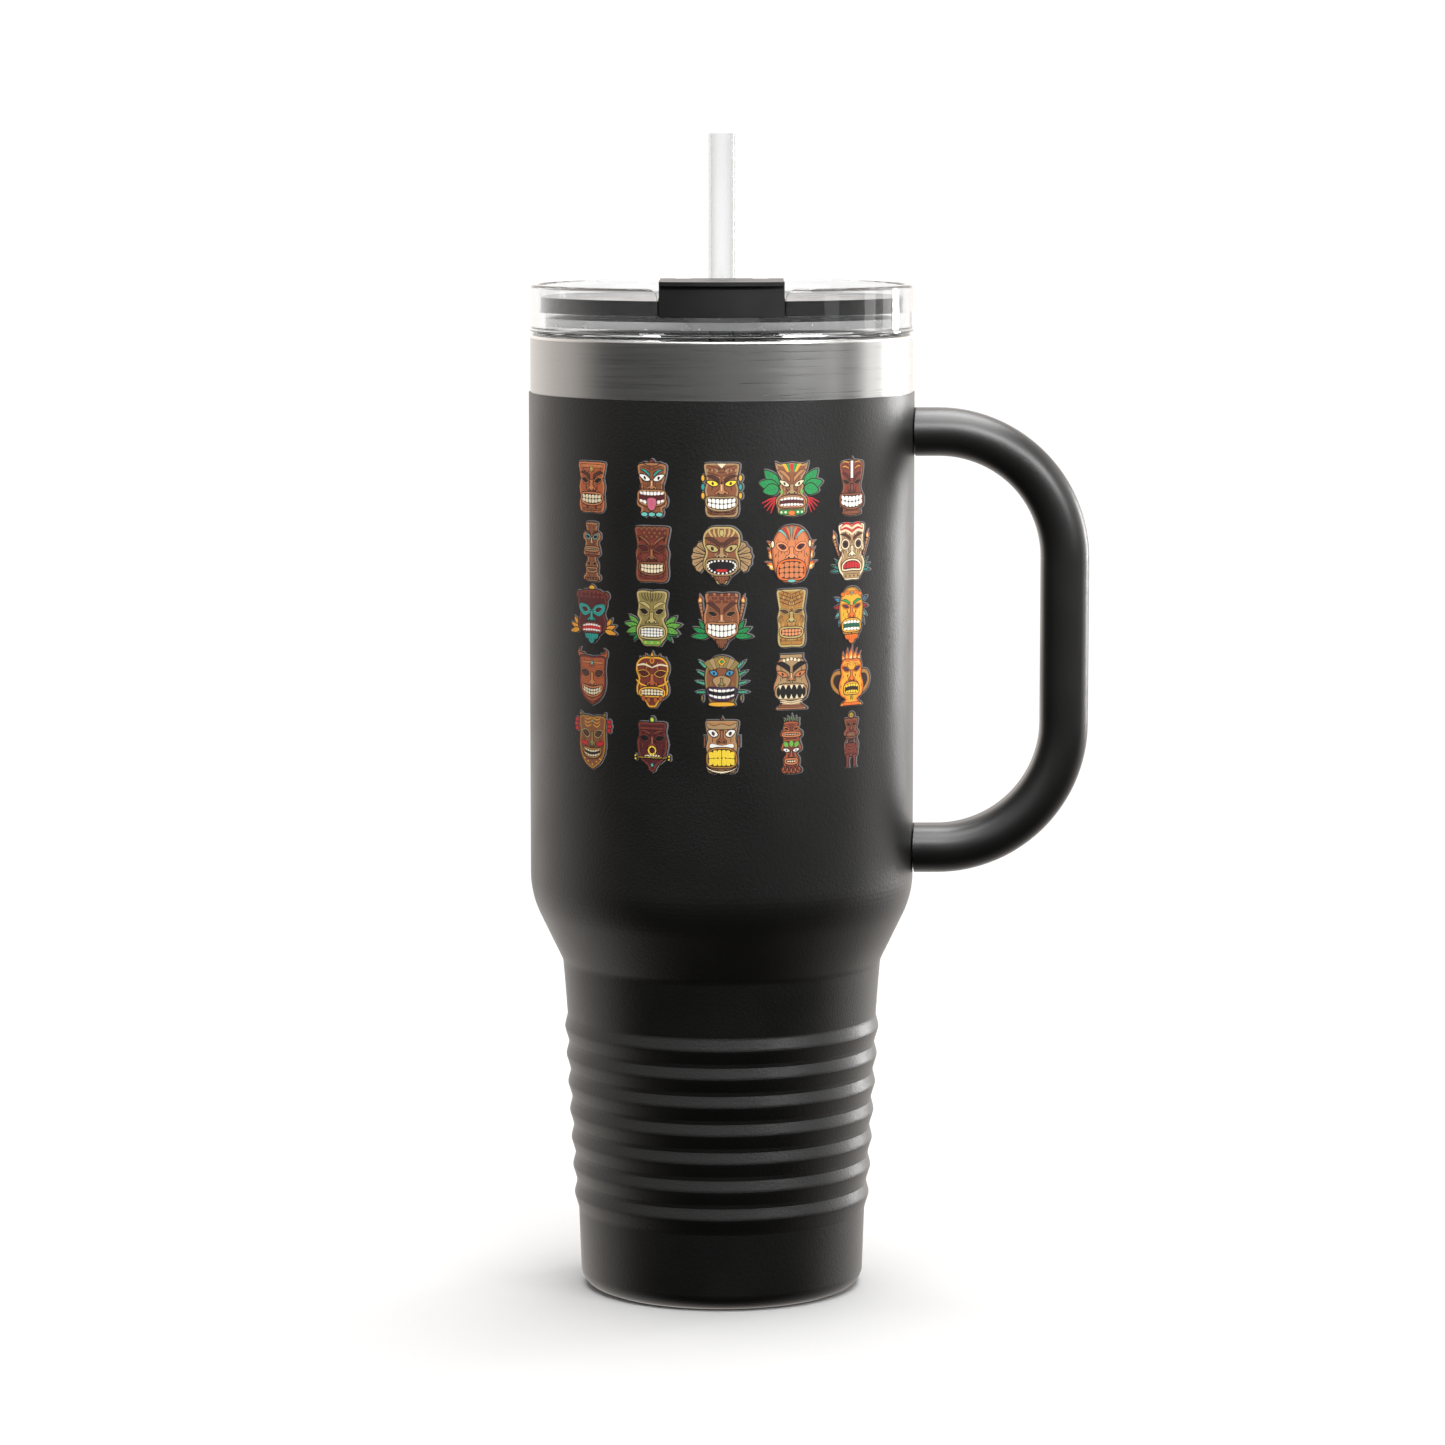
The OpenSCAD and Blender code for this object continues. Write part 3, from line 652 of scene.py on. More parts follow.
    def mouth(self, kind, y, w, h, bend, lip, tooth, cols, hollow="maroon"):
        w, h = w * 1.1, h * 1.14
        rim = mouth_outline(w, h, bend, y)
        self.put(grow(rim, 0.22), "line")
        self.put(rim, lip)
        self.put(grow(rim, -0.36), "line")
        self.put(grow(rim, -0.48), hollow if kind in ("open", "tongue", "dots", "fangs") else "line")
        tw, th, tb = w - 1.15, h - 1.1, bend * ((w - 1.15) / w) ** 2
        rows = {"bars": 1, "grin": 2, "grid": 3}
        if kind in rows:
            self.teeth(y, tw, th, tb, cols, rows[kind], tooth)
        elif kind in ("open", "tongue"):
            self.teeth(y, tw, th + 0.3, tb, cols, 2, tooth, th * 0.2)
            if kind == "tongue":
                self.lined(curve([(-w * 0.15, y - 0.1), (w * 0.15, y - 0.1), (w * 0.14, y - h * 0.6),
                                  (0, y - h * 0.78), (-w * 0.14, y - h * 0.6)]), "pink")
                self.put(stroke([(0, y - 0.3), (0, y - h * 0.5)], 0.16), "red")
        elif kind == "dots":
            n = cols * 3
            for i in range(n):
                a = 2 * math.pi * i / n
                x = (w / 2 - 0.62) * math.cos(a)
                self.put(oval(x, y + (h / 2 - 0.62) * math.sin(a) + lift(x, w, bend), 0.5, 0.5, 8), tooth)
            self.put(mouth_outline(w * 0.34, h * 0.16, 0.1, y - h * 0.2), "red")
        elif kind == "fangs":
            for c in range(cols):
                x = -tw / 2 + tw * (c + 0.5) / cols
                for s in (-1, 1):
                    tip = [(x - tw / cols * 0.3, y + s * th * 0.56), (x + tw / cols * 0.3, y + s * th * 0.56),
                           (x, y + s * th * 0.2)]
                    self.put([(px, py + lift(px, w, bend)) for px, py in tip], tooth)

    def chevrons(self, y, w, step, count, ink, drop=0.8):
        for i in range(count):
            self.draw([(0, y - i * step - drop), (w / 2, y - i * step + drop * 0.4)], ink, 0.24)

    def beard(self, y, w, h, ink):
        half = [(w / 2, y), (w * 0.42, y - h * 0.5), (w * 0.24, y - h * 0.62), (w * 0.16, y - h * 0.86),
                (0, y - h)]
        self.part(half + flip(half[:-1]), ink)
        for t in (-1, -0.5, 0, 0.5, 1):
            x = w * 0.38 * t
            self.put(stroke([(x, y - 0.2), (x * 0.45, y - h * (0.85 - 0.7 * abs(x) / w))], 0.16), "line")

    def gem(self, y, size, ink="aqua", rim="gold"):
        self.lined(oval(0, y, size, size * 1.25, 12), rim)
        self.lined(oval(0, y, size * 0.55, size * 0.75, 10), ink, width=0.08)

    def cheeks(self, x, y, size, ink):
        """Carved scrolls on both cheeks, one inside the other."""
        for k in range(2):
            r = size * (1 - 0.42 * k)
            arc = [(x + r * math.cos(a) * 0.8, y + r * math.sin(a)) for a in (2.4, 1.4, 0.4, -0.6, -1.6)]
            self.draw(arc, ink, 0.2)

    def band(self, y, w, h, ink, count, dots=None):
        """A carved band across the head, with dots or cuts along it."""
        self.lined(rect(-w / 2, y - h / 2, w / 2, y + h / 2), ink)
        for i in range(count):
            x = -w / 2 + w * (i + 0.5) / count
            if dots:
                self.put(oval(x, y, h * 0.42, h * 0.42, 8), dots)
            else:
                self.put(stroke([(x, y - h * 0.3), (x, y + h * 0.3)], 0.14), "line")

    def crest(self, y, w, h, ink, points):
        """Pointed leaves standing on the head."""
        for i in range(points):
            t = 2 * i / (points - 1) - 1 if points > 1 else 0
            size = h * (1 - 0.4 * abs(t))
            side = w / points * 0.5
            shape = curve([(0, 0), (side, size * 0.4), (0, size), (-side, size * 0.4)])
            self.part(shift(shape, t * w * 0.4, y - 0.25 * abs(t), -t * 0.55), ink)


def row_1():
    a = Mask(10.2, 13)
    a.head("block", "rust", "rust_light", 9.4, 13)
    a.band(5.3, 7.6, 1, "rust_light", 6)
    a.gem(4.5, 1.3)
    a.brows(0.5, 2.6, 4, 3.7, 1, "wood_dark")
    a.eyes("hollow", 2.2, 1.7, 2.4, 1.3, rim="rust_light")
    a.nose(-0.9, 3, 2.8, "rust_light")
    a.mouth("grin", -3, 6.8, 2.9, 0.35, "rust_light", "cream", 6)
    a.band(-5.7, 6.4, 0.8, "wood", 5)

    b = Mask(8.6, 14.8)
    b.crest(6.3, 5.4, 1.4, "red_wood", 3)
    b.head("slim", "wood", "wood_light", 8.6, 13.4, 0.1)
    b.chevrons(6.3, 5.4, 0.7, 2, "wood_dark")
    b.brows(0.4, 3.4, 3.2, 5, 0.9, "teal")
    b.eyes("almond", 1.9, 2.9, 2.8, 1.4, "white", slant=0.4)
    b.nose(0, 2.6, 2.4, "wood_light")
    b.cheeks(2.6, 0.6, 0.8, "wood_dark")
    b.mouth("tongue", -2.2, 7, 3.6, 0.5, "wood_light", "white", 7)
    for x in (-2, 0, 2):
        b.part(oval(x, -6.3, 2.2, 1.5, 14), "aqua")

    c = Mask(9.6, 14)
    for k, ink in enumerate(("gold", "teal", "gold")):
        c.part(oval(4.7, 3 - 2.2 * k, 1.3, 2, 14), ink, 2)
    c.head("block", "wood", "tan", 9.2, 13.8)
    c.lined([(-1.4, 6.7), (1.4, 6.7), (0, 5.3)], "cream")
    c.chevrons(6, 7.4, 0.9, 3, "wood_dark")
    for x in (1.2, 2.4, 3.6):
        c.both(oval(x, 4.6 + 0.14 * x, 0.5, 0.5, 8), "tan")
    c.brows(0.5, 2.3, 4.1, 3.6, 1, "wood_dark")
    c.eyes("almond", 2.3, 1.7, 2.8, 1.3, "yellow", slant=0.2)
    c.nose(-1.1, 3.4, 2.8, "wood_light")
    c.mouth("grin", -3.5, 7.4, 3.2, 0.7, "tan", "white", 7)
    for k in range(2):
        c.draw([(0, -5.7 - 0.55 * k), (2.2, -5.5 - 0.5 * k), (3.7, -4.8 - 0.6 * k)], "line", 0.2)

    d = Mask(18, 14.2)
    for turn, length in ((0.85, 6.2), (0.25, 5.8), (-0.2, 4.6)):
        d.leaf(3.2, 0.4, length, 3.4, turn, "green", "forest")
    for turn in (-0.35, -0.6, -0.85, -1.1):
        d.both(shift(stroke([(0, 0), (2.4, 0.25), (4.6, 0)], 0.36), 3.4, -1.8, turn), "red")
    d.head("flare", "wood", "tan", 9.6, 14)
    for x, ink in ((0, "red"), (1.1, "green"), (2.1, "gold")):
        d.both([(x - 0.5, 6.4), (x + 0.5, 6.4), (x * 0.5 + 0.2, 4.4), (x * 0.5 - 0.3, 4.4)], ink)
    d.brows(0.4, 2.4, 4, 5, 1.4, "wood_light")
    d.eyes("almond", 2, 1.5, 2.5, 1.2, "cream", slant=0.45)
    d.nose(-1.2, 3, 2.6, "tan")
    d.both(oval(2.7, -0.6, 0.7, 1.2, 12), "leaf")
    d.mouth("open", -3, 6.6, 2.7, -0.35, "wood_light", "white", 7)
    d.band(-5.7, 6.6, 1.4, "green", 6, "cream")
    d.lined(oval(0, -5.9, 2, 1.4, 16), "orange")

    e = Mask(8.6, 15)
    e.part([(-0.8, 7), (0, 7.7), (0.8, 7)], "red_wood")
    e.head("slim", "red_wood", "wood", 8.8, 14.2, -0.2)
    e.lined(rect(-0.5, 2.2, 0.5, 6.7), "white", width=0.1)
    for k in range(4):
        e.put(stroke([(-0.3, 3 + k), (0.3, 3 + k)], 0.13), "line")
        ink = "gold" if k % 2 else "wood_dark"
        e.draw([(1, 4 + 0.7 * k), (2.2, 4.7 + 0.6 * k), (3, 4.5 + 0.6 * k)], ink, 0.2)
    e.brows(0.5, 1.8, 3.3, 3.6, 1.1, "maroon")
    e.eyes("hollow", 1.9, 1.3, 2.2, 1.1, rim="wood")
    e.nose(-1.6, 2.8, 2.6, "wood_dark")
    e.mouth("grin", -3.7, 7.4, 3.4, 0.8, "wood", "white", 6)
    e.band(-6.4, 5.4, 0.9, "wood", 6)
    return a, b, c, d, e


def row_2():
    a = Mask(6.8, 15.6)
    a.head("totem", "wood", "wood_light", 6.4, 15.4)
    a.band(7, 4, 0.7, "wood_light", 5)
    a.brows(0.3, 4.3, 2.4, 5, 0.7, "wood_dark")
    a.eyes("hollow", 1.3, 3.7, 1.4, 0.9, rim="aqua")
    a.nose(1.8, 1.9, 1.9, "wood_light")
    a.mouth("bars", 0.6, 4.6, 1.2, 0, "wood_light", "cream", 6)
    a.band(-1.1, 4.6, 0.6, "red_wood", 6)
    a.eyes("hollow", 1, -3.1, 1.2, 0.8, rim="wood_light")
    a.mouth("bars", -4.7, 3.4, 1.2, 0.2, "wood_light", "tan", 5)
    a.band(-6.9, 4.8, 0.7, "wood_dark", 5, "wood_light")

    b = Mask(9.9, 14.4)
    b.head("block", "red_wood", "wood", 9.6, 14.2)
    for i in range(5):
        for j in range(3):
            x = -2.8 + 1.4 * i + (0.7 if j % 2 else 0)
            b.lined([(x - 0.62, 6.3 - 0.95 * j), (x, 6.9 - 0.95 * j), (x + 0.62, 6.3 - 0.95 * j),
                     (x, 5.7 - 0.95 * j)], "wood", width=0.1)
    b.brows(0.4, 2.4, 4.1, 4.6, 1, "wood")
    b.eyes("hollow", 2.3, 1.5, 3, 1.7, "maroon", "wood")
    b.nose(-1.4, 3, 2.9, "wood")
    b.cheeks(3.2, -0.9, 0.9, "maroon")
    b.mouth("grin", -3.7, 6.4, 2.9, 0.5, "wood", "cream", 7)
    b.draw([(0, -6.2), (2, -6), (3.6, -5.2)], "line", 0.2)

    c = Mask(14.8, 15.2)
    for k in range(5):
        turn = 0.9 - 0.42 * k
        ray = [(0, -0.6), (4.4, -1.15), (4.9, 0), (4.4, 1.15), (0, 0.6)]
        c.part(shift(ray, 3, -0.6, turn), "tan", 2)
        c.both(shift(stroke([(1.5, 0), (4.1, 0)], 0.26), 3, -0.6, turn), "wood_dark")
    c.head("broad", "wood", "khaki", 10.6, 15)
    for k in range(3):
        c.draw([(0.7 + 1.2 * k, 6.9 - 0.3 * k), (0.8 + 1.1 * k, 5.6), (0.5 + 0.9 * k, 4.6)], "khaki", 0.5)
    c.lined(oval(0, 5.6, 1.3, 1.9, 14), "khaki", width=0.14)
    c.brows(0.5, 2.6, 4.4, 4.4, 1.3, "wood_dark")
    c.eyes("almond", 2.4, 1.7, 3, 1.6, "khaki", slant=0.3)
    c.nose(-0.7, 3, 2.8, "tan")
    c.mouth("dots", -3, 7.4, 3.9, 0.5, "tan", "white", 7, "black")
    c.beard(-5.1, 4.4, 2.3, "wood")

    d = Mask(13.2, 15)
    for turn, y, size in ((-0.9, 2.6, 1.3), (-0.5, 0.2, 1.7), (-1, -2.6, 1.7)):
        d.flame(5.4, y, size, turn)
    d.head("round", "rust_light", "rust", 11, 15)
    d.part(oval(5, 2.6, 1.2, 2.2, 14), "cream", 2)
    for k, ink in enumerate(("teal", "red", "aqua")):
        d.lined(curve([(0.25 + 0.2 * k, 3.4), (0.5 + 1.2 * k, 5.6), (1 + 1.5 * k, 6.9 - 0.75 * k),
                       (0.2 + 1.2 * k, 6.6 - 0.15 * k)]), ink, sides=2, width=0.1)
    d.eyes("goggle", 2.5, 1.9, 2.3, 1.5, "black", "peach")
    d.nose(-1.1, 3.2, 3, "peach")
    d.mouth("grid", -3.9, 7, 4.6, -0.3, "orange", "rust_light", 5)
    d.lined(oval(0, -6.7, 2.4, 0.9, 14), "aqua")

    e = Mask(16.4, 14.6)
    e.torch(4.1, -1.2, 4.7, 0.35)
    for turn in (-0.1, 0.35, 0.8):
        e.leaf(3, -4.6, 4, 1.1, turn, "teal", "forest")
    e.head("cup", "tan", "cream", 9.4, 14.6)
    for k, ink in enumerate(("cream", "red", "cream", "red")):
        e.draw([(0, 4.3 + 0.75 * k), (2, 5.4 + 0.6 * k), (3.9 - 0.2 * k, 5 + 0.5 * k)], ink, 0.55)
    e.brows(0.4, 3.2, 4, 4.5, 0.9, "maroon")
    e.eyes("ring", 2.2, 1.9, 2.4, 1.6, "black", "cream")
    e.nose(-1.2, 2.6, 2.8, "cream")
    e.cheeks(3, -0.4, 0.9, "maroon")
    e.mouth("bars", -3.3, 6, 2.5, -0.7, "cream", "red", 6)
    e.band(-6.2, 5.6, 1.2, "tan", 4, "maroon")
    return a, b, c, d, e


def row_3():
    a = Mask(16, 15.3)
    for turn in (0.9, 0.35, -0.2):
        a.leaf(4, -3.8, 4.2, 1.7, turn, "gold", "orange")
    a.part(oval(4.6, 4.9, 2.4, 2.4, 14), "red_wood", 2)
    a.crest(6.2, 2.6, 1.6, "gold", 1)
    a.head("broad", "maroon", "red_wood", 11, 13.8, -0.2)
    for i in range(6):
        a.both(oval(0.7 + 1.35 * (i % 3), 5.6 - 1 * (i // 3), 0.9, 0.6, 10), "red_wood")
    goggles = whole([(0, 1.4), (1.4, 2.6), (4.2, 2.9), (4.4, 1.2), (2.6, -0.4), (0.8, 0.2), (0, 0.6)])
    a.lined(curve(goggles), "teal", width=0.16)
    a.eyes("hollow", 2.3, 1.4, 2.2, 1.3, rim="aqua", ink="maroon")
    a.nose(-1.5, 2.8, 2.7, "teal")
    a.mouth("open", -3.1, 6.4, 2.4, -0.4, "red_wood", "white", 7, "red")
    a.beard(-4.5, 5.2, 3, "teal")

    b = Mask(15.8, 14.5)
    for turn, length in ((0.75, 4.6), (0.2, 4.8), (-0.35, 4.4)):
        b.leaf(3.2, -2.4, length, 2, turn, "leaf", "forest")
        b.leaf(3, -3.4, length * 0.8, 1.4, turn - 0.5, "green", "forest")
    b.head("cup", "olive", "khaki", 8.8, 14.3)
    for k in range(4):
        b.draw([(0.35 + 0.75 * k, 6.9 - 0.2 * k), (0.3 + 0.75 * k, 5.4), (0.2 + 0.4 * k, 4.3)], "line", 0.22)
    b.brows(0.4, 2.6, 3.8, 3.9, 1.1, "khaki")
    b.eyes("hollow", 2.1, 1.7, 2.3, 1.5, rim="khaki")
    b.nose(-1.3, 2.8, 2.9, "khaki")
    b.mouth("grid", -3.6, 6.4, 3, 0, "khaki", "white", 7)
    b.band(-6.2, 5, 1.2, "leaf", 3, "gold")

    c = Mask(15.2, 15.7)
    c.torch(4.6, -0.4, 4.6, 0.18)
    for turn in (0.95, 0.45, -0.05):
        c.leaf(3, -4.2, 5, 1.9, turn, "green", "forest")
    c.head("point", "wood", "wood_light", 9.4, 15.2, -0.2)
    for i in range(4):
        for j in range(3):
            x = -2.7 + 1.8 * i + (0.9 if j % 2 else 0)
            c.lined(rect(x - 0.62, 5.9 - 0.9 * j, x + 0.62, 6.5 - 0.9 * j), "red_wood", width=0.1)
    c.brows(0.4, 2, 4.1, 4.2, 1.2, "wood_dark")
    c.eyes("hollow", 2.3, 1.4, 2.4, 1.2, rim="wood_light")
    c.nose(-1.3, 3, 2.7, "wood_light")
    c.mouth("grin", -3, 7.4, 3.6, 0.9, "wood_light", "white", 7)
    c.beard(-5, 3.4, 2.6, "wood")

    d = Mask(8.4, 14.9)
    d.head("block", "ochre", "khaki", 8.2, 14.8)
    d.chevrons(6.8, 6.4, 0.95, 4, "wood_dark", 0.9)
    d.eyes("hollow", 1.9, 1.7, 2.4, 1.1, "wood_dark", "khaki")
    d.nose(-1, 2.6, 2.8, "khaki")
    d.cheeks(2.7, -0.3, 1, "wood_dark")
    d.mouth("grin", -3.6, 5.8, 2.5, 0.2, "khaki", "peach", 6)
    d.band(-6.2, 5.8, 1.1, "ochre", 1)

    e = Mask(12.4, 14.7)
    for k, ink in enumerate(("blue", "red", "aqua", "blue")):
        e.leaf(3.2, 3.4 - 1.2 * k, 2.9, 1.3, 0.4 - 0.5 * k, ink, "line")
    e.head("round", "gold", "ochre", 8.6, 13.4, 0.6)
    for x in (1.3, 2.9):
        e.lined(oval(x, 6 - 0.25 * x, 1.5, 1.2, 14), "orange", sides=2)
    e.gem(5.6, 1.2, "blue")
    e.brows(0.4, 2.8, 3.6, 3.8, 0.9, "green")
    e.eyes("hollow", 2, 2.2, 2.2, 1, "purple", "orange")
    e.nose(-0.7, 2.6, 3.2, "orange")
    e.mouth("open", -2.6, 5.8, 3, -0.2, "gold", "white", 5, "forest")
    e.beard(-4.7, 5.2, 2.8, "orange")
    return a, b, c, d, e


def row_4():
    a = Mask(10.4, 14.7)
    a.part(curve([(3, 4.6), (4.9, 4.9), (5.1, 6.6), (3.7, 7.3), (4.2, 6.2), (2.6, 5.9)], 4), "rust", 2)
    a.head("shield", "rust", "red_wood", 9.2, 13, -0.9)
    a.band(3.6, 7.4, 0.7, "rust_light", 7)
    a.gem(3.5, 1.3, "aqua", "olive")
    a.eyes("hollow", 2.3, 0.9, 3, 2, "wood_dark", "rust_light", 0.15)
    a.nose(-2.2, 2.8, 3.4, "rust_light")
    a.mouth("grin", -3.9, 6.4, 2.3, 1.3, "rust_light", "cream", 7)
    a.draw([(0, -6.4), (1.4, -6), (2.4, -5.2)], "line", 0.2)

    b = Mask(10.6, 14.5)
    b.crest(4.8, 7, 2.6, "gold", 5)
    b.head("broad", "red_wood", "gold", 10, 13.4, -0.4)
    b.gem(5, 1.5, "red")
    b.draw([(0, 3.2), (2.2, 4), (4.2, 3.6)], "cream", 0.45)
    b.eyes("hollow", 2.3, 1.7, 3, 1.6, "maroon", "gold", 0.1)
    b.nose(-1.4, 3, 3.2, "rust")
    b.draw([(1.5, -1.5), (3, -1.1), (4.3, 0)], "gold", 0.4)
    b.mouth("grin", -3, 6.4, 2.3, -0.2, "gold", "cream", 7)
    for x in (0.9, 2.3):
        b.lined(oval(x, -5.2 + 0.25 * x, 1.2, 1.6, 14), "rust", sides=2)

    c = Mask(13.2, 13.8)
    for k in range(4):
        c.leaf(3.4, 3 - 1.9 * k, 3.6, 1.1, 0.75 - 0.25 * k, "green", "aqua")
    c.part(oval(4.9, -4.2, 0.9, 2.2, 12), "olive", 2)
    c.head("round", "wood", "olive", 9, 13.4)
    for k in range(7):
        t = -1 + k / 3
        c.lined(shift([(-0.5, 0), (0.5, 0), (0.75, 2.8), (-0.75, 2.8)], t * 2.2, 3.4 - 0.5 * t * t, -t * 0.7),
                "tan" if k % 2 else "olive", width=0.1)
    c.lined([(0, 6.2), (1.2, 5), (0, 3.8), (-1.2, 5)], "gold")
    c.lined([(0, 5.6), (0.6, 5), (0, 4.4), (-0.6, 5)], "green", width=0.08)
    c.eyes("almond", 2, 2.1, 1.9, 1.2, "blue", slant=0.2)
    c.lined(curve([(-2.4, 0.6), (0, 1.6), (2.4, 0.6), (1.4, -1.4), (0, -1.8), (-1.4, -1.4)], 4), "tan",
            width=0.16)
    c.nose(-1.2, 1.9, 2.2, "olive")
    c.mouth("open", -3.2, 6.8, 2.8, 0.7, "purple", "white", 6, "black")
    c.part(curve([(-3, -5.2), (0, -5), (3, -5.2), (3.2, -6.2), (0, -6.5), (-3.2, -6.2)]), "gold")

    d = Mask(9.7, 14)
    d.head("vase", "tan", "wood_light", 9.8, 14.6, -0.2)
    d.part(rect(-3.2, 5.4, 3.2, 6.7), "tan")
    for x in (-2, -1, 0, 1, 2):
        d.lined(oval(x, 5.4 - 0.2 * abs(x), 0.95, 1.1, 12), "cream", width=0.1)
    d.brows(0.3, 2.7, 4.3, 4.4, 1.6, "black")
    d.eyes("almond", 2.4, 1.6, 2.8, 1.2, "rust_light", slant=0.35)
    d.nose(-0.2, 2.6, 2.3, "wood_light")
    d.mouth("fangs", -2.9, 7.8, 3.6, 0, "tan", "cream", 5, "black")
    for k in range(2):
        d.chevrons(-5.1 - 0.5 * k, 6, 0.5, 1, "cream", 0.4)
    d.band(-6.6, 7, 0.8, "wood", 6)

    e = Mask(14.3, 14.8)
    e.part(curve([(2.8, 1.2), (5.6, 1.6), (6.9, -0.8), (5.8, -3.4), (2.8, -4.6)], 4), "ochre", 2)
    e.both(curve([(3, 0.2), (5, 0.6), (5.9, -0.9), (5, -2.6), (3, -3.6)], 4), "line")
    for t, size in ((-1, 1.3), (-0.5, 1.8), (0, 2.3), (0.5, 1.8), (1, 1.3)):
        e.flame(2.6 * t, 5 + 0.5 * (1 - abs(t)), size, -0.35 * t, sides=1)
    e.head("vase", "gold", "orange", 8.8, 13.4, -0.8)
    for k in range(3):
        e.draw([(0.25, 2.8 + 0.6 * k), (1.3, 3.4 + 0.6 * k), (2.6 - 0.5 * k, 3 + 0.8 * k)], "rust", 0.24)
    e.eyes("hollow", 1.9, 2, 2.2, 1.2, "purple", "orange", 0.3)
    e.nose(-1.1, 2.4, 2.9, "orange")
    e.draw([(1.2, -0.9), (2.2, -1.6), (2.7, -2.9)], "red", 0.3)
    e.mouth("open", -2.9, 4.8, 2.8, -0.4, "gold", "yellow", 5, "line")
    e.gem(-5.2, 0.9, "green", "yellow")
    e.band(-6.9, 5.6, 0.9, "orange", 1)
    return a, b, c, d, e


def row_5():
    a = Mask(14.1, 15.1)
    for k in range(3):
        a.part(oval(5.4 + 0.25 * (k % 2), 4.9 - 1.1 * k, 1.7, 1.5, 12), "red", 2, line="maroon")
    a.part(curve([(2.6, 5.6), (4.4, 6), (4.5, 7.2), (3.3, 6.7)], 4), "olive", 2)
    a.head("shield", "wood", "ochre", 9.2, 14.2, -0.5)
    for k in range(3):
        a.draw([(0.3, 5.6 - 0.8 * k), (1.6, 5.2 - 0.9 * k), (2.6, 5.6 - 0.7 * k)], "gold", 0.24)
    a.gem(4.9, 0.9, "aqua")
    a.eyes("hollow", 2.1, 1.7, 2.5, 1.8, "wood_dark", "khaki")
    a.nose(-1.5, 2.2, 3.7, "olive")
    a.lined(curve([(1.5, -0.6), (3.6, 0), (3.8, -1), (1.8, -1.6)], 4), "red", sides=2)
    a.mouth("open", -3.4, 5.6, 2.2, 0.9, "ochre", "cream", 6, "line")
    for x in (0, 1.4, 2.6):
        a.both(oval(x, -6.2 + 0.55 * x, 0.45, 0.45, 8), "gold")

    b = Mask(9.8, 14.9)
    b.crest(4.6, 6.4, 1.4, "red_wood", 5)
    b.head("point", "maroon", "red_wood", 8.6, 13.6, -0.5)
    b.part(oval(0, 6.2, 1.8, 1.9, 12), "green")
    b.put(oval(0, 6.2, 0.8, 0.9, 10), "yellow")
    b.band(4, 6.6, 0.8, "red_wood", 6)
    b.brows(0.4, 2.6, 3.8, 3.3, 0.8, "red_wood")
    b.eyes("hollow", 2.1, 1.5, 2.6, 1.5, "black", "red_wood", 0.1)
    b.nose(-1, 2.6, 3.2, "red_wood")
    ring = oval(0, -1.6, 1.9, 2, 16)
    b.put(stroke(ring + ring[:1], 0.34, taper=False), "yellow")
    b.teeth(-3.2, 4.2, 1.1, 0, 6, 1, "cream")
    b.part(rect(-4.2, -3.7, 4.2, -3.1), "yellow")
    for y in (-3, -3.8):
        b.part(oval(4.5, y, 1, 1, 12), "yellow", 2)
    b.gem(-5.3, 1, "aqua", "teal")

    c = Mask(8.8, 14.6)
    c.part([(-0.7, 6.4), (0, 7.4), (0.7, 6.4)], "wood")
    c.part(rect(3.9, -0.4, 4.7, 2.6), "wood", 2)
    c.head("block", "wood_light", "tan", 8.6, 13.6, -0.3)
    brow = whole([(0, 5.6), (2, 5.1), (3.8, 5.9), (3.4, 4.3), (0, 4)])
    c.lined(curve(brow), "tan", width=0.14)
    c.eyes("almond", 2.2, 3.1, 2.4, 1.7, "white", slant=0.3)
    c.both(oval(2.1, 3, 0.8, 0.9, 10), "wood_dark")
    c.nose(0.6, 2.6, 3.4, "wood")
    lip = [(-3.2, -0.3), (-2.6, 0.6), (0, 0.1), (2.6, 0.6), (3.2, -0.3), (2.4, -0.7), (0, -0.5), (-2.4, -0.7)]
    c.lined(curve(lip), "white")
    c.mouth("grin", -3.1, 7, 4.6, -0.3, "ochre", "yellow", 6)
    c.teeth(-3.2, 5.8, 3.6, 0, 6, 2, "yellow")
    chin = [(-4, -5), (-2.6, -5.9), (0, -6.3), (2.6, -5.9), (4, -5), (3.4, -6.3), (0, -7.3), (-3.4, -6.3)]
    c.part(curve(chin), "cream")

    d = Mask(6.5, 15.6)
    d.crest(5.8, 3.8, 2, "leaf", 5)
    d.head("totem", "red_wood", "rust", 6.2, 13.6, -0.8)
    d.brows(0.3, 4.3, 2.2, 4.8, 0.6, "rust")
    d.eyes("hollow", 1.3, 3.9, 1.3, 0.7, rim="rust_light")
    d.mouth("bars", 2.5, 4.6, 1.2, 0, "rust_light", "cream", 6)
    d.band(1, 4.4, 0.6, "rust", 5)
    leaf = curve([(0, 0), (0.7, 0.9), (0, 1.9), (-0.7, 0.9)])
    for t in (-1, 0, 1):
        d.lined(shift(leaf, t * 0.9, -0.8, -t * 0.6), "leaf", width=0.1)
    d.eyes("almond", 1.3, -1.5, 1.7, 0.8, "white", slant=0.2)
    d.nose(-3.4, 1.6, 1.9, "rust")
    d.mouth("bars", -4.4, 3.2, 1.4, 0.2, "rust_light", "cream", 4)
    foot = curve([(0, 0), (0.5, -1), (0, -2), (-0.5, -1)])
    for t in (-1, -0.5, 0, 0.5, 1):
        d.part(shift(foot, t * 1.7, -5.7 + 0.3 * abs(t), t * 0.5), "rust")

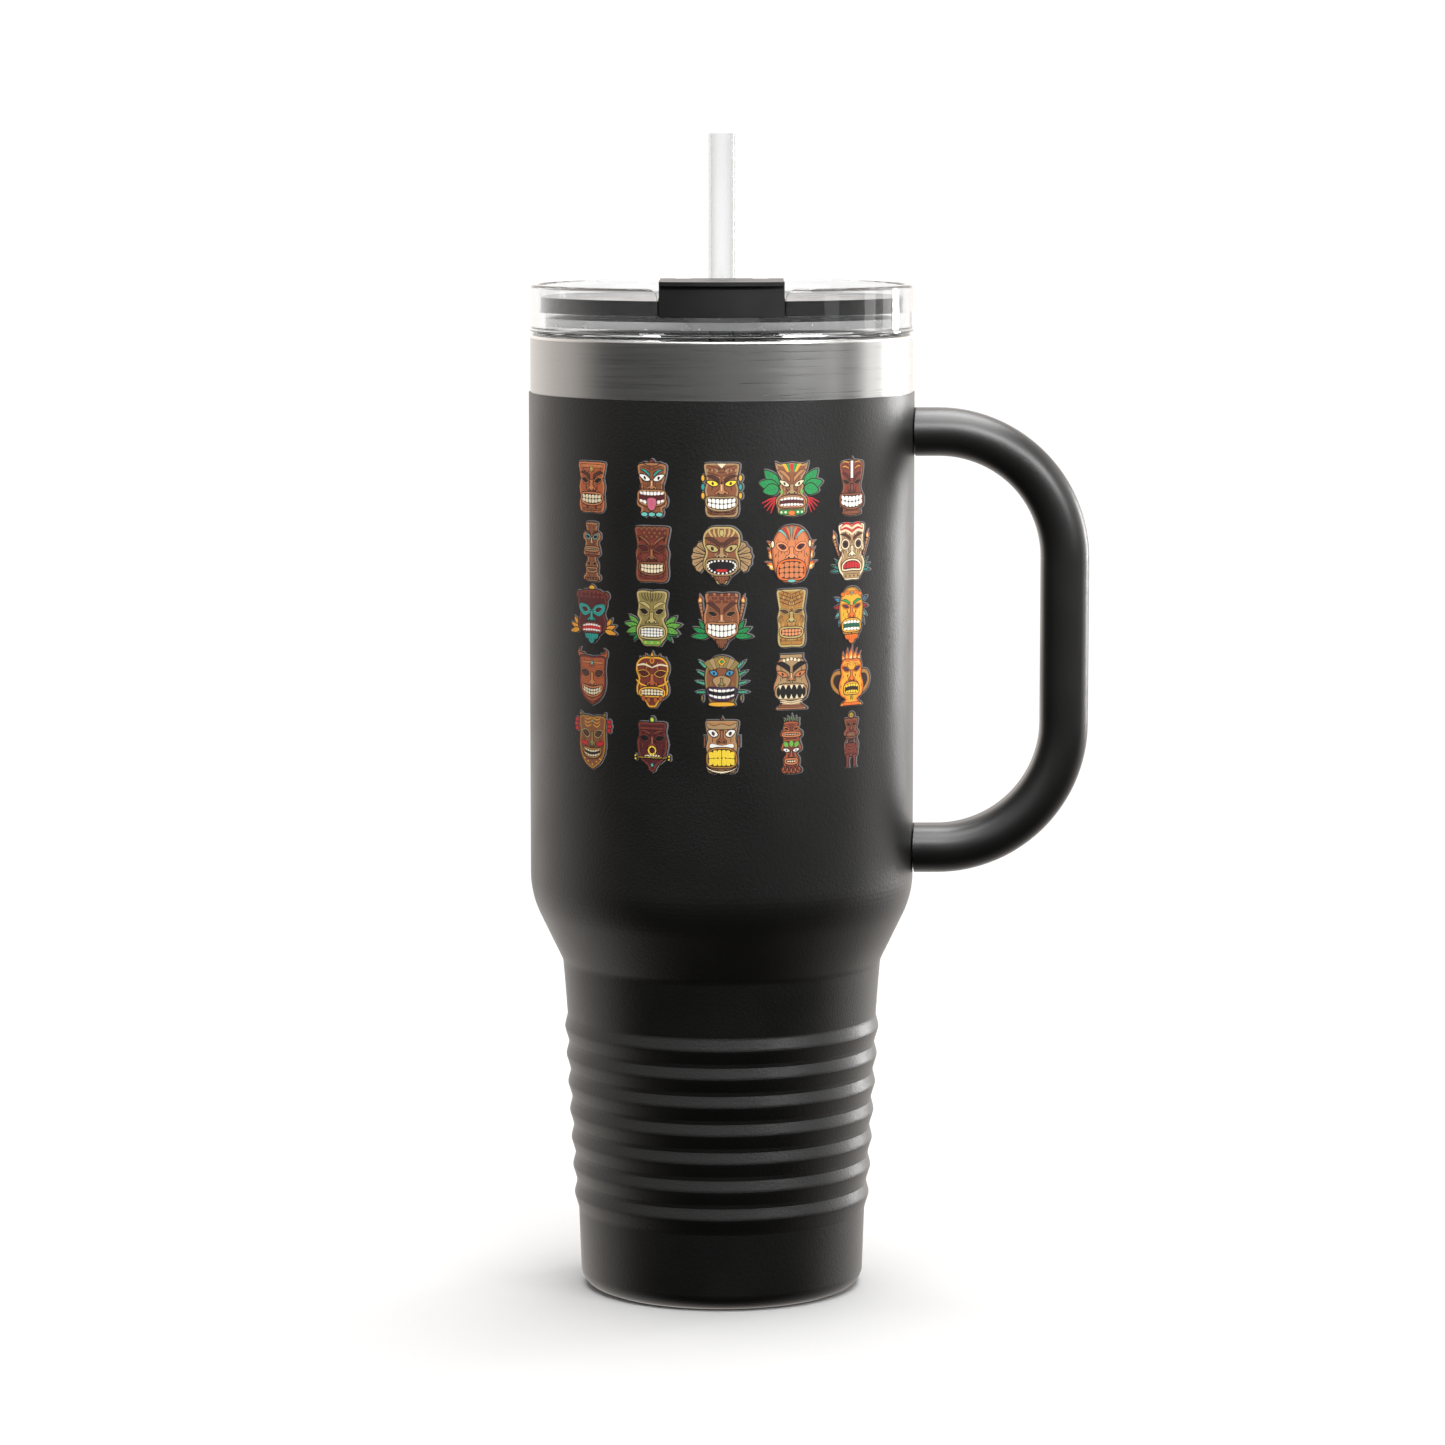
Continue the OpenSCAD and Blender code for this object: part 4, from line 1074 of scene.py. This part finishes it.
    e = Mask(6.9, 15.2)
    e.part(curve([(-1.2, -0.6), (1.2, -0.6), (2.3, -2.4), (1.9, -4.2), (-1.9, -4.2), (-2.3, -2.4)], 4),
           "red_wood")
    e.part([(0.35, -3.6), (1.9, -3.4), (1.7, -6.2), (2.1, -7), (0.5, -7), (0.7, -5.6)], "red_wood", 2)
    e.part(curve([(1.2, 0.8), (2.5, -0.6), (2.4, -2.6), (1.7, -2.5), (1.6, -0.8)]), "wood", 2)
    e.part(rect(-0.9, -0.9, 0.9, 0.3), "wood_dark")
    e.head("slim", "red_wood", "wood", 5.4, 5.6, 3)
    e.part(oval(0, 6.3, 2.6, 2, 14), "wood")
    e.gem(6.4, 1.1, "green", "yellow")
    e.eyes("hollow", 1, 4, 1.2, 0.8, rim="wood")
    e.nose(2.5, 1.3, 1.3, "wood")
    e.mouth("bars", 1.5, 2.8, 1, -0.1, "wood", "cream", 4)
    for y in (-1.6, -2.4, -3.2):
        e.draw([(0, y - 0.25), (0.8, y), (1.3, y + 0.3)], "line", 0.16)
    return a, b, c, d, e


MASK_ROWS = ((212.8, row_1), (196.5, row_2), (180.4, row_3), (164.7, row_4), (148.5, row_5))
MASK_ANGLES = (-41.0, -20.5, 0.0, 20.5, 41.0)


def print_mesh(name, z, masks):
    """A row of masks as a raised print: closed flat pieces in layers, bent round the coat."""
    bm = bmesh.new()
    for angle, mask in zip(MASK_ANGLES, masks):
        add_mask(bm, mask, math.radians(angle), z)
    mesh = bpy.data.meshes.new(name)
    bm.to_mesh(mesh)
    bm.free()
    return mesh


def add_mask(bm, mask, angle, z):
    flat = bmesh.new()
    laid = []
    for points in mask.outer:
        # the grey outline under each mask is painted light on the print's rim, shifted to one side
        add_prism(flat, shift(grow(points, PAINTED_RIM_OUT), *PAINTED_RIM_SHIFT), "painted_lit_rim", PRINT_RISE)
    for points, ink in mask.shapes:
        box = [f(p[axis] for p in points) for f in (min, max) for axis in (0, 1)]
        level = 1 + max((under for under, other in laid if overlap(box, other)), default=0)
        laid.append((level, box))
        add_prism(flat, points, ink, PRINT_RISE + LAYER_RISE * level)
    for k in range(-WRAP_CUTS, WRAP_CUTS + 1):
        geometry = flat.verts[:] + flat.edges[:] + flat.faces[:]
        place = (k * WRAP_STEP, 0, 0)
        bmesh.ops.bisect_plane(flat, geom=geometry, plane_co=place, plane_no=(1, 0, 0), dist=ON_PLANE)
    bmesh.ops.dissolve_degenerate(flat, dist=SLIVER, edges=flat.edges[:])
    places = {}
    for v in flat.verts:
        a = angle + v.co.x / COAT_R
        r = (COAT_R + v.co.z) * MM
        places[v] = bm.verts.new((r * math.sin(a), -r * math.cos(a), (z + v.co.y) * MM))
    for f in flat.faces:
        face = bm.faces.new([places[v] for v in f.verts])
        face.material_index = f.material_index
    flat.free()


def overlap(a, b):
    """Whether two boxes (x low, y low, x high, y high) share any area."""
    return a[0] < b[2] and b[0] < a[2] and a[1] < b[3] and b[1] < a[3]


def add_prism(bm, points, ink, top):
    """A closed slab with this outline, from below the coat's face up to top."""
    points = tidy(points)
    if len(points) < 3:
        return
    if area(points) < 0:
        points = points[::-1]
    index = INK_ORDER.index(ink)
    low = [bm.verts.new((x, y, -PRINT_SINK)) for x, y in points]
    high = [bm.verts.new((x, y, top)) for x, y in points]
    n = len(points)
    caps = tessellate_polygon([[Vector((x, y, 0)) for x, y in points]])
    if len(caps) != n - 2:
        caps = [range(n)]
    for cap in caps:
        cap = list(cap)
        if area([points[i] for i in cap]) < 0:
            cap.reverse()
        bm.faces.new([high[i] for i in cap]).material_index = index
        bm.faces.new([low[i] for i in reversed(cap)]).material_index = index
    for i in range(n):
        j = (i + 1) % n
        bm.faces.new((low[i], low[j], high[j], high[i])).material_index = index


def corner(p, q, r):
    """Twice the area of a triangle, positive when it runs anticlockwise."""
    return (q[0] - p[0]) * (r[1] - p[1]) - (q[1] - p[1]) * (r[0] - p[0])


def tidy(points):
    """The outline without points that fall on each other or on the line between their neighbours."""
    out = []
    for p in points:
        if not out or math.dist(p, out[-1]) > MERGE:
            out.append(p)
    while len(out) > 2 and math.dist(out[0], out[-1]) <= MERGE:
        out.pop()
    return [p for i, p in enumerate(out) if abs(corner(out[i - 1], p, out[(i + 1) % len(out)])) > FLAT]


def make_print():
    inks = [ink_material(name) for name in INK_ORDER]
    for k, (z, row) in enumerate(MASK_ROWS):
        name = f"tiki_print_{k + 1}"
        mesh = print_mesh(name, z, row())
        for ink in inks:
            mesh.materials.append(ink)
        piece = bpy.data.objects.new(name, mesh)
        bpy.context.scene.collection.objects.link(piece)
        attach(piece, "mug")


make_camera()
make_world()
make_lights()
make_floor()

dress(coat_material("powder_coat", (0.0030, 0.0028, 0.0026), (0.0044, 0.0041, 0.0038), 0.4, 0.45),
      "powder_coat")
dress(coat_material("handle_coat", (0.0055, 0.0053, 0.0051), (0.007, 0.0067, 0.0065), 0.36, 0.12),
      "handle_front", "handle_rear")
dress(steel_material("brushed_steel", (0.4, 0.397, 0.39), 0.3, 0.06), "outer_shell", "upper_bracket",
      "lower_bracket")
dress(steel_material("liner_steel", (0.7, 0.69, 0.67), 0.25, 0.1), "inner_liner", "base_plate")
dress(steel_material("pin_steel", (0.6, 0.6, 0.6), 0.22, 0.05), "hinge_pin", "handle_screws")
dress(moulded_material("black_plastic", (0.003, 0.003, 0.003), 0.16, 0.03, 0.08), "lid_deck", "base_cover")
dress(moulded_material("black_rubber", (0.014, 0.014, 0.014), 0.6, 0.3), "screw_plugs")
dress(moulded_material("flap_plastic", (0.0045, 0.0044, 0.0044), 0.42, 0.2, 0.32), "flap")
dress(moulded_material("silicone", (0.7, 0.7, 0.68), 0.5, 0.1), "lid_gasket", "straw_bush", "flap_seal")
dress(moulded_material("seal_glass", (0.2, 0.21, 0.18), 0.3, 0.1), "vacuum_seal")
dress(moulded_material("getter_metal", (0.16, 0.16, 0.17), 0.7, 0.3), "getter")
# the second colour of each clear plastic is painted shade where it is seen at a grazing angle
dress(clear_material("clear_plastic", (0.97, 0.97, 0.97), (0.66, 0.67, 0.67), 0.0, 1.45), "lid_body",
      "lid_skirt")
dress(clear_material("frosted_plastic", (0.95, 0.95, 0.95), (0.9, 0.9, 0.9), 0.25, 1.45, 0.55), "lid_floor")
dress(clear_material("straw_plastic", (0.96, 0.96, 0.96), (0.14, 0.15, 0.15), 0.03, 1.4), "straw")

make_print()
bpy.context.scene.view_settings.view_transform = "Standard"
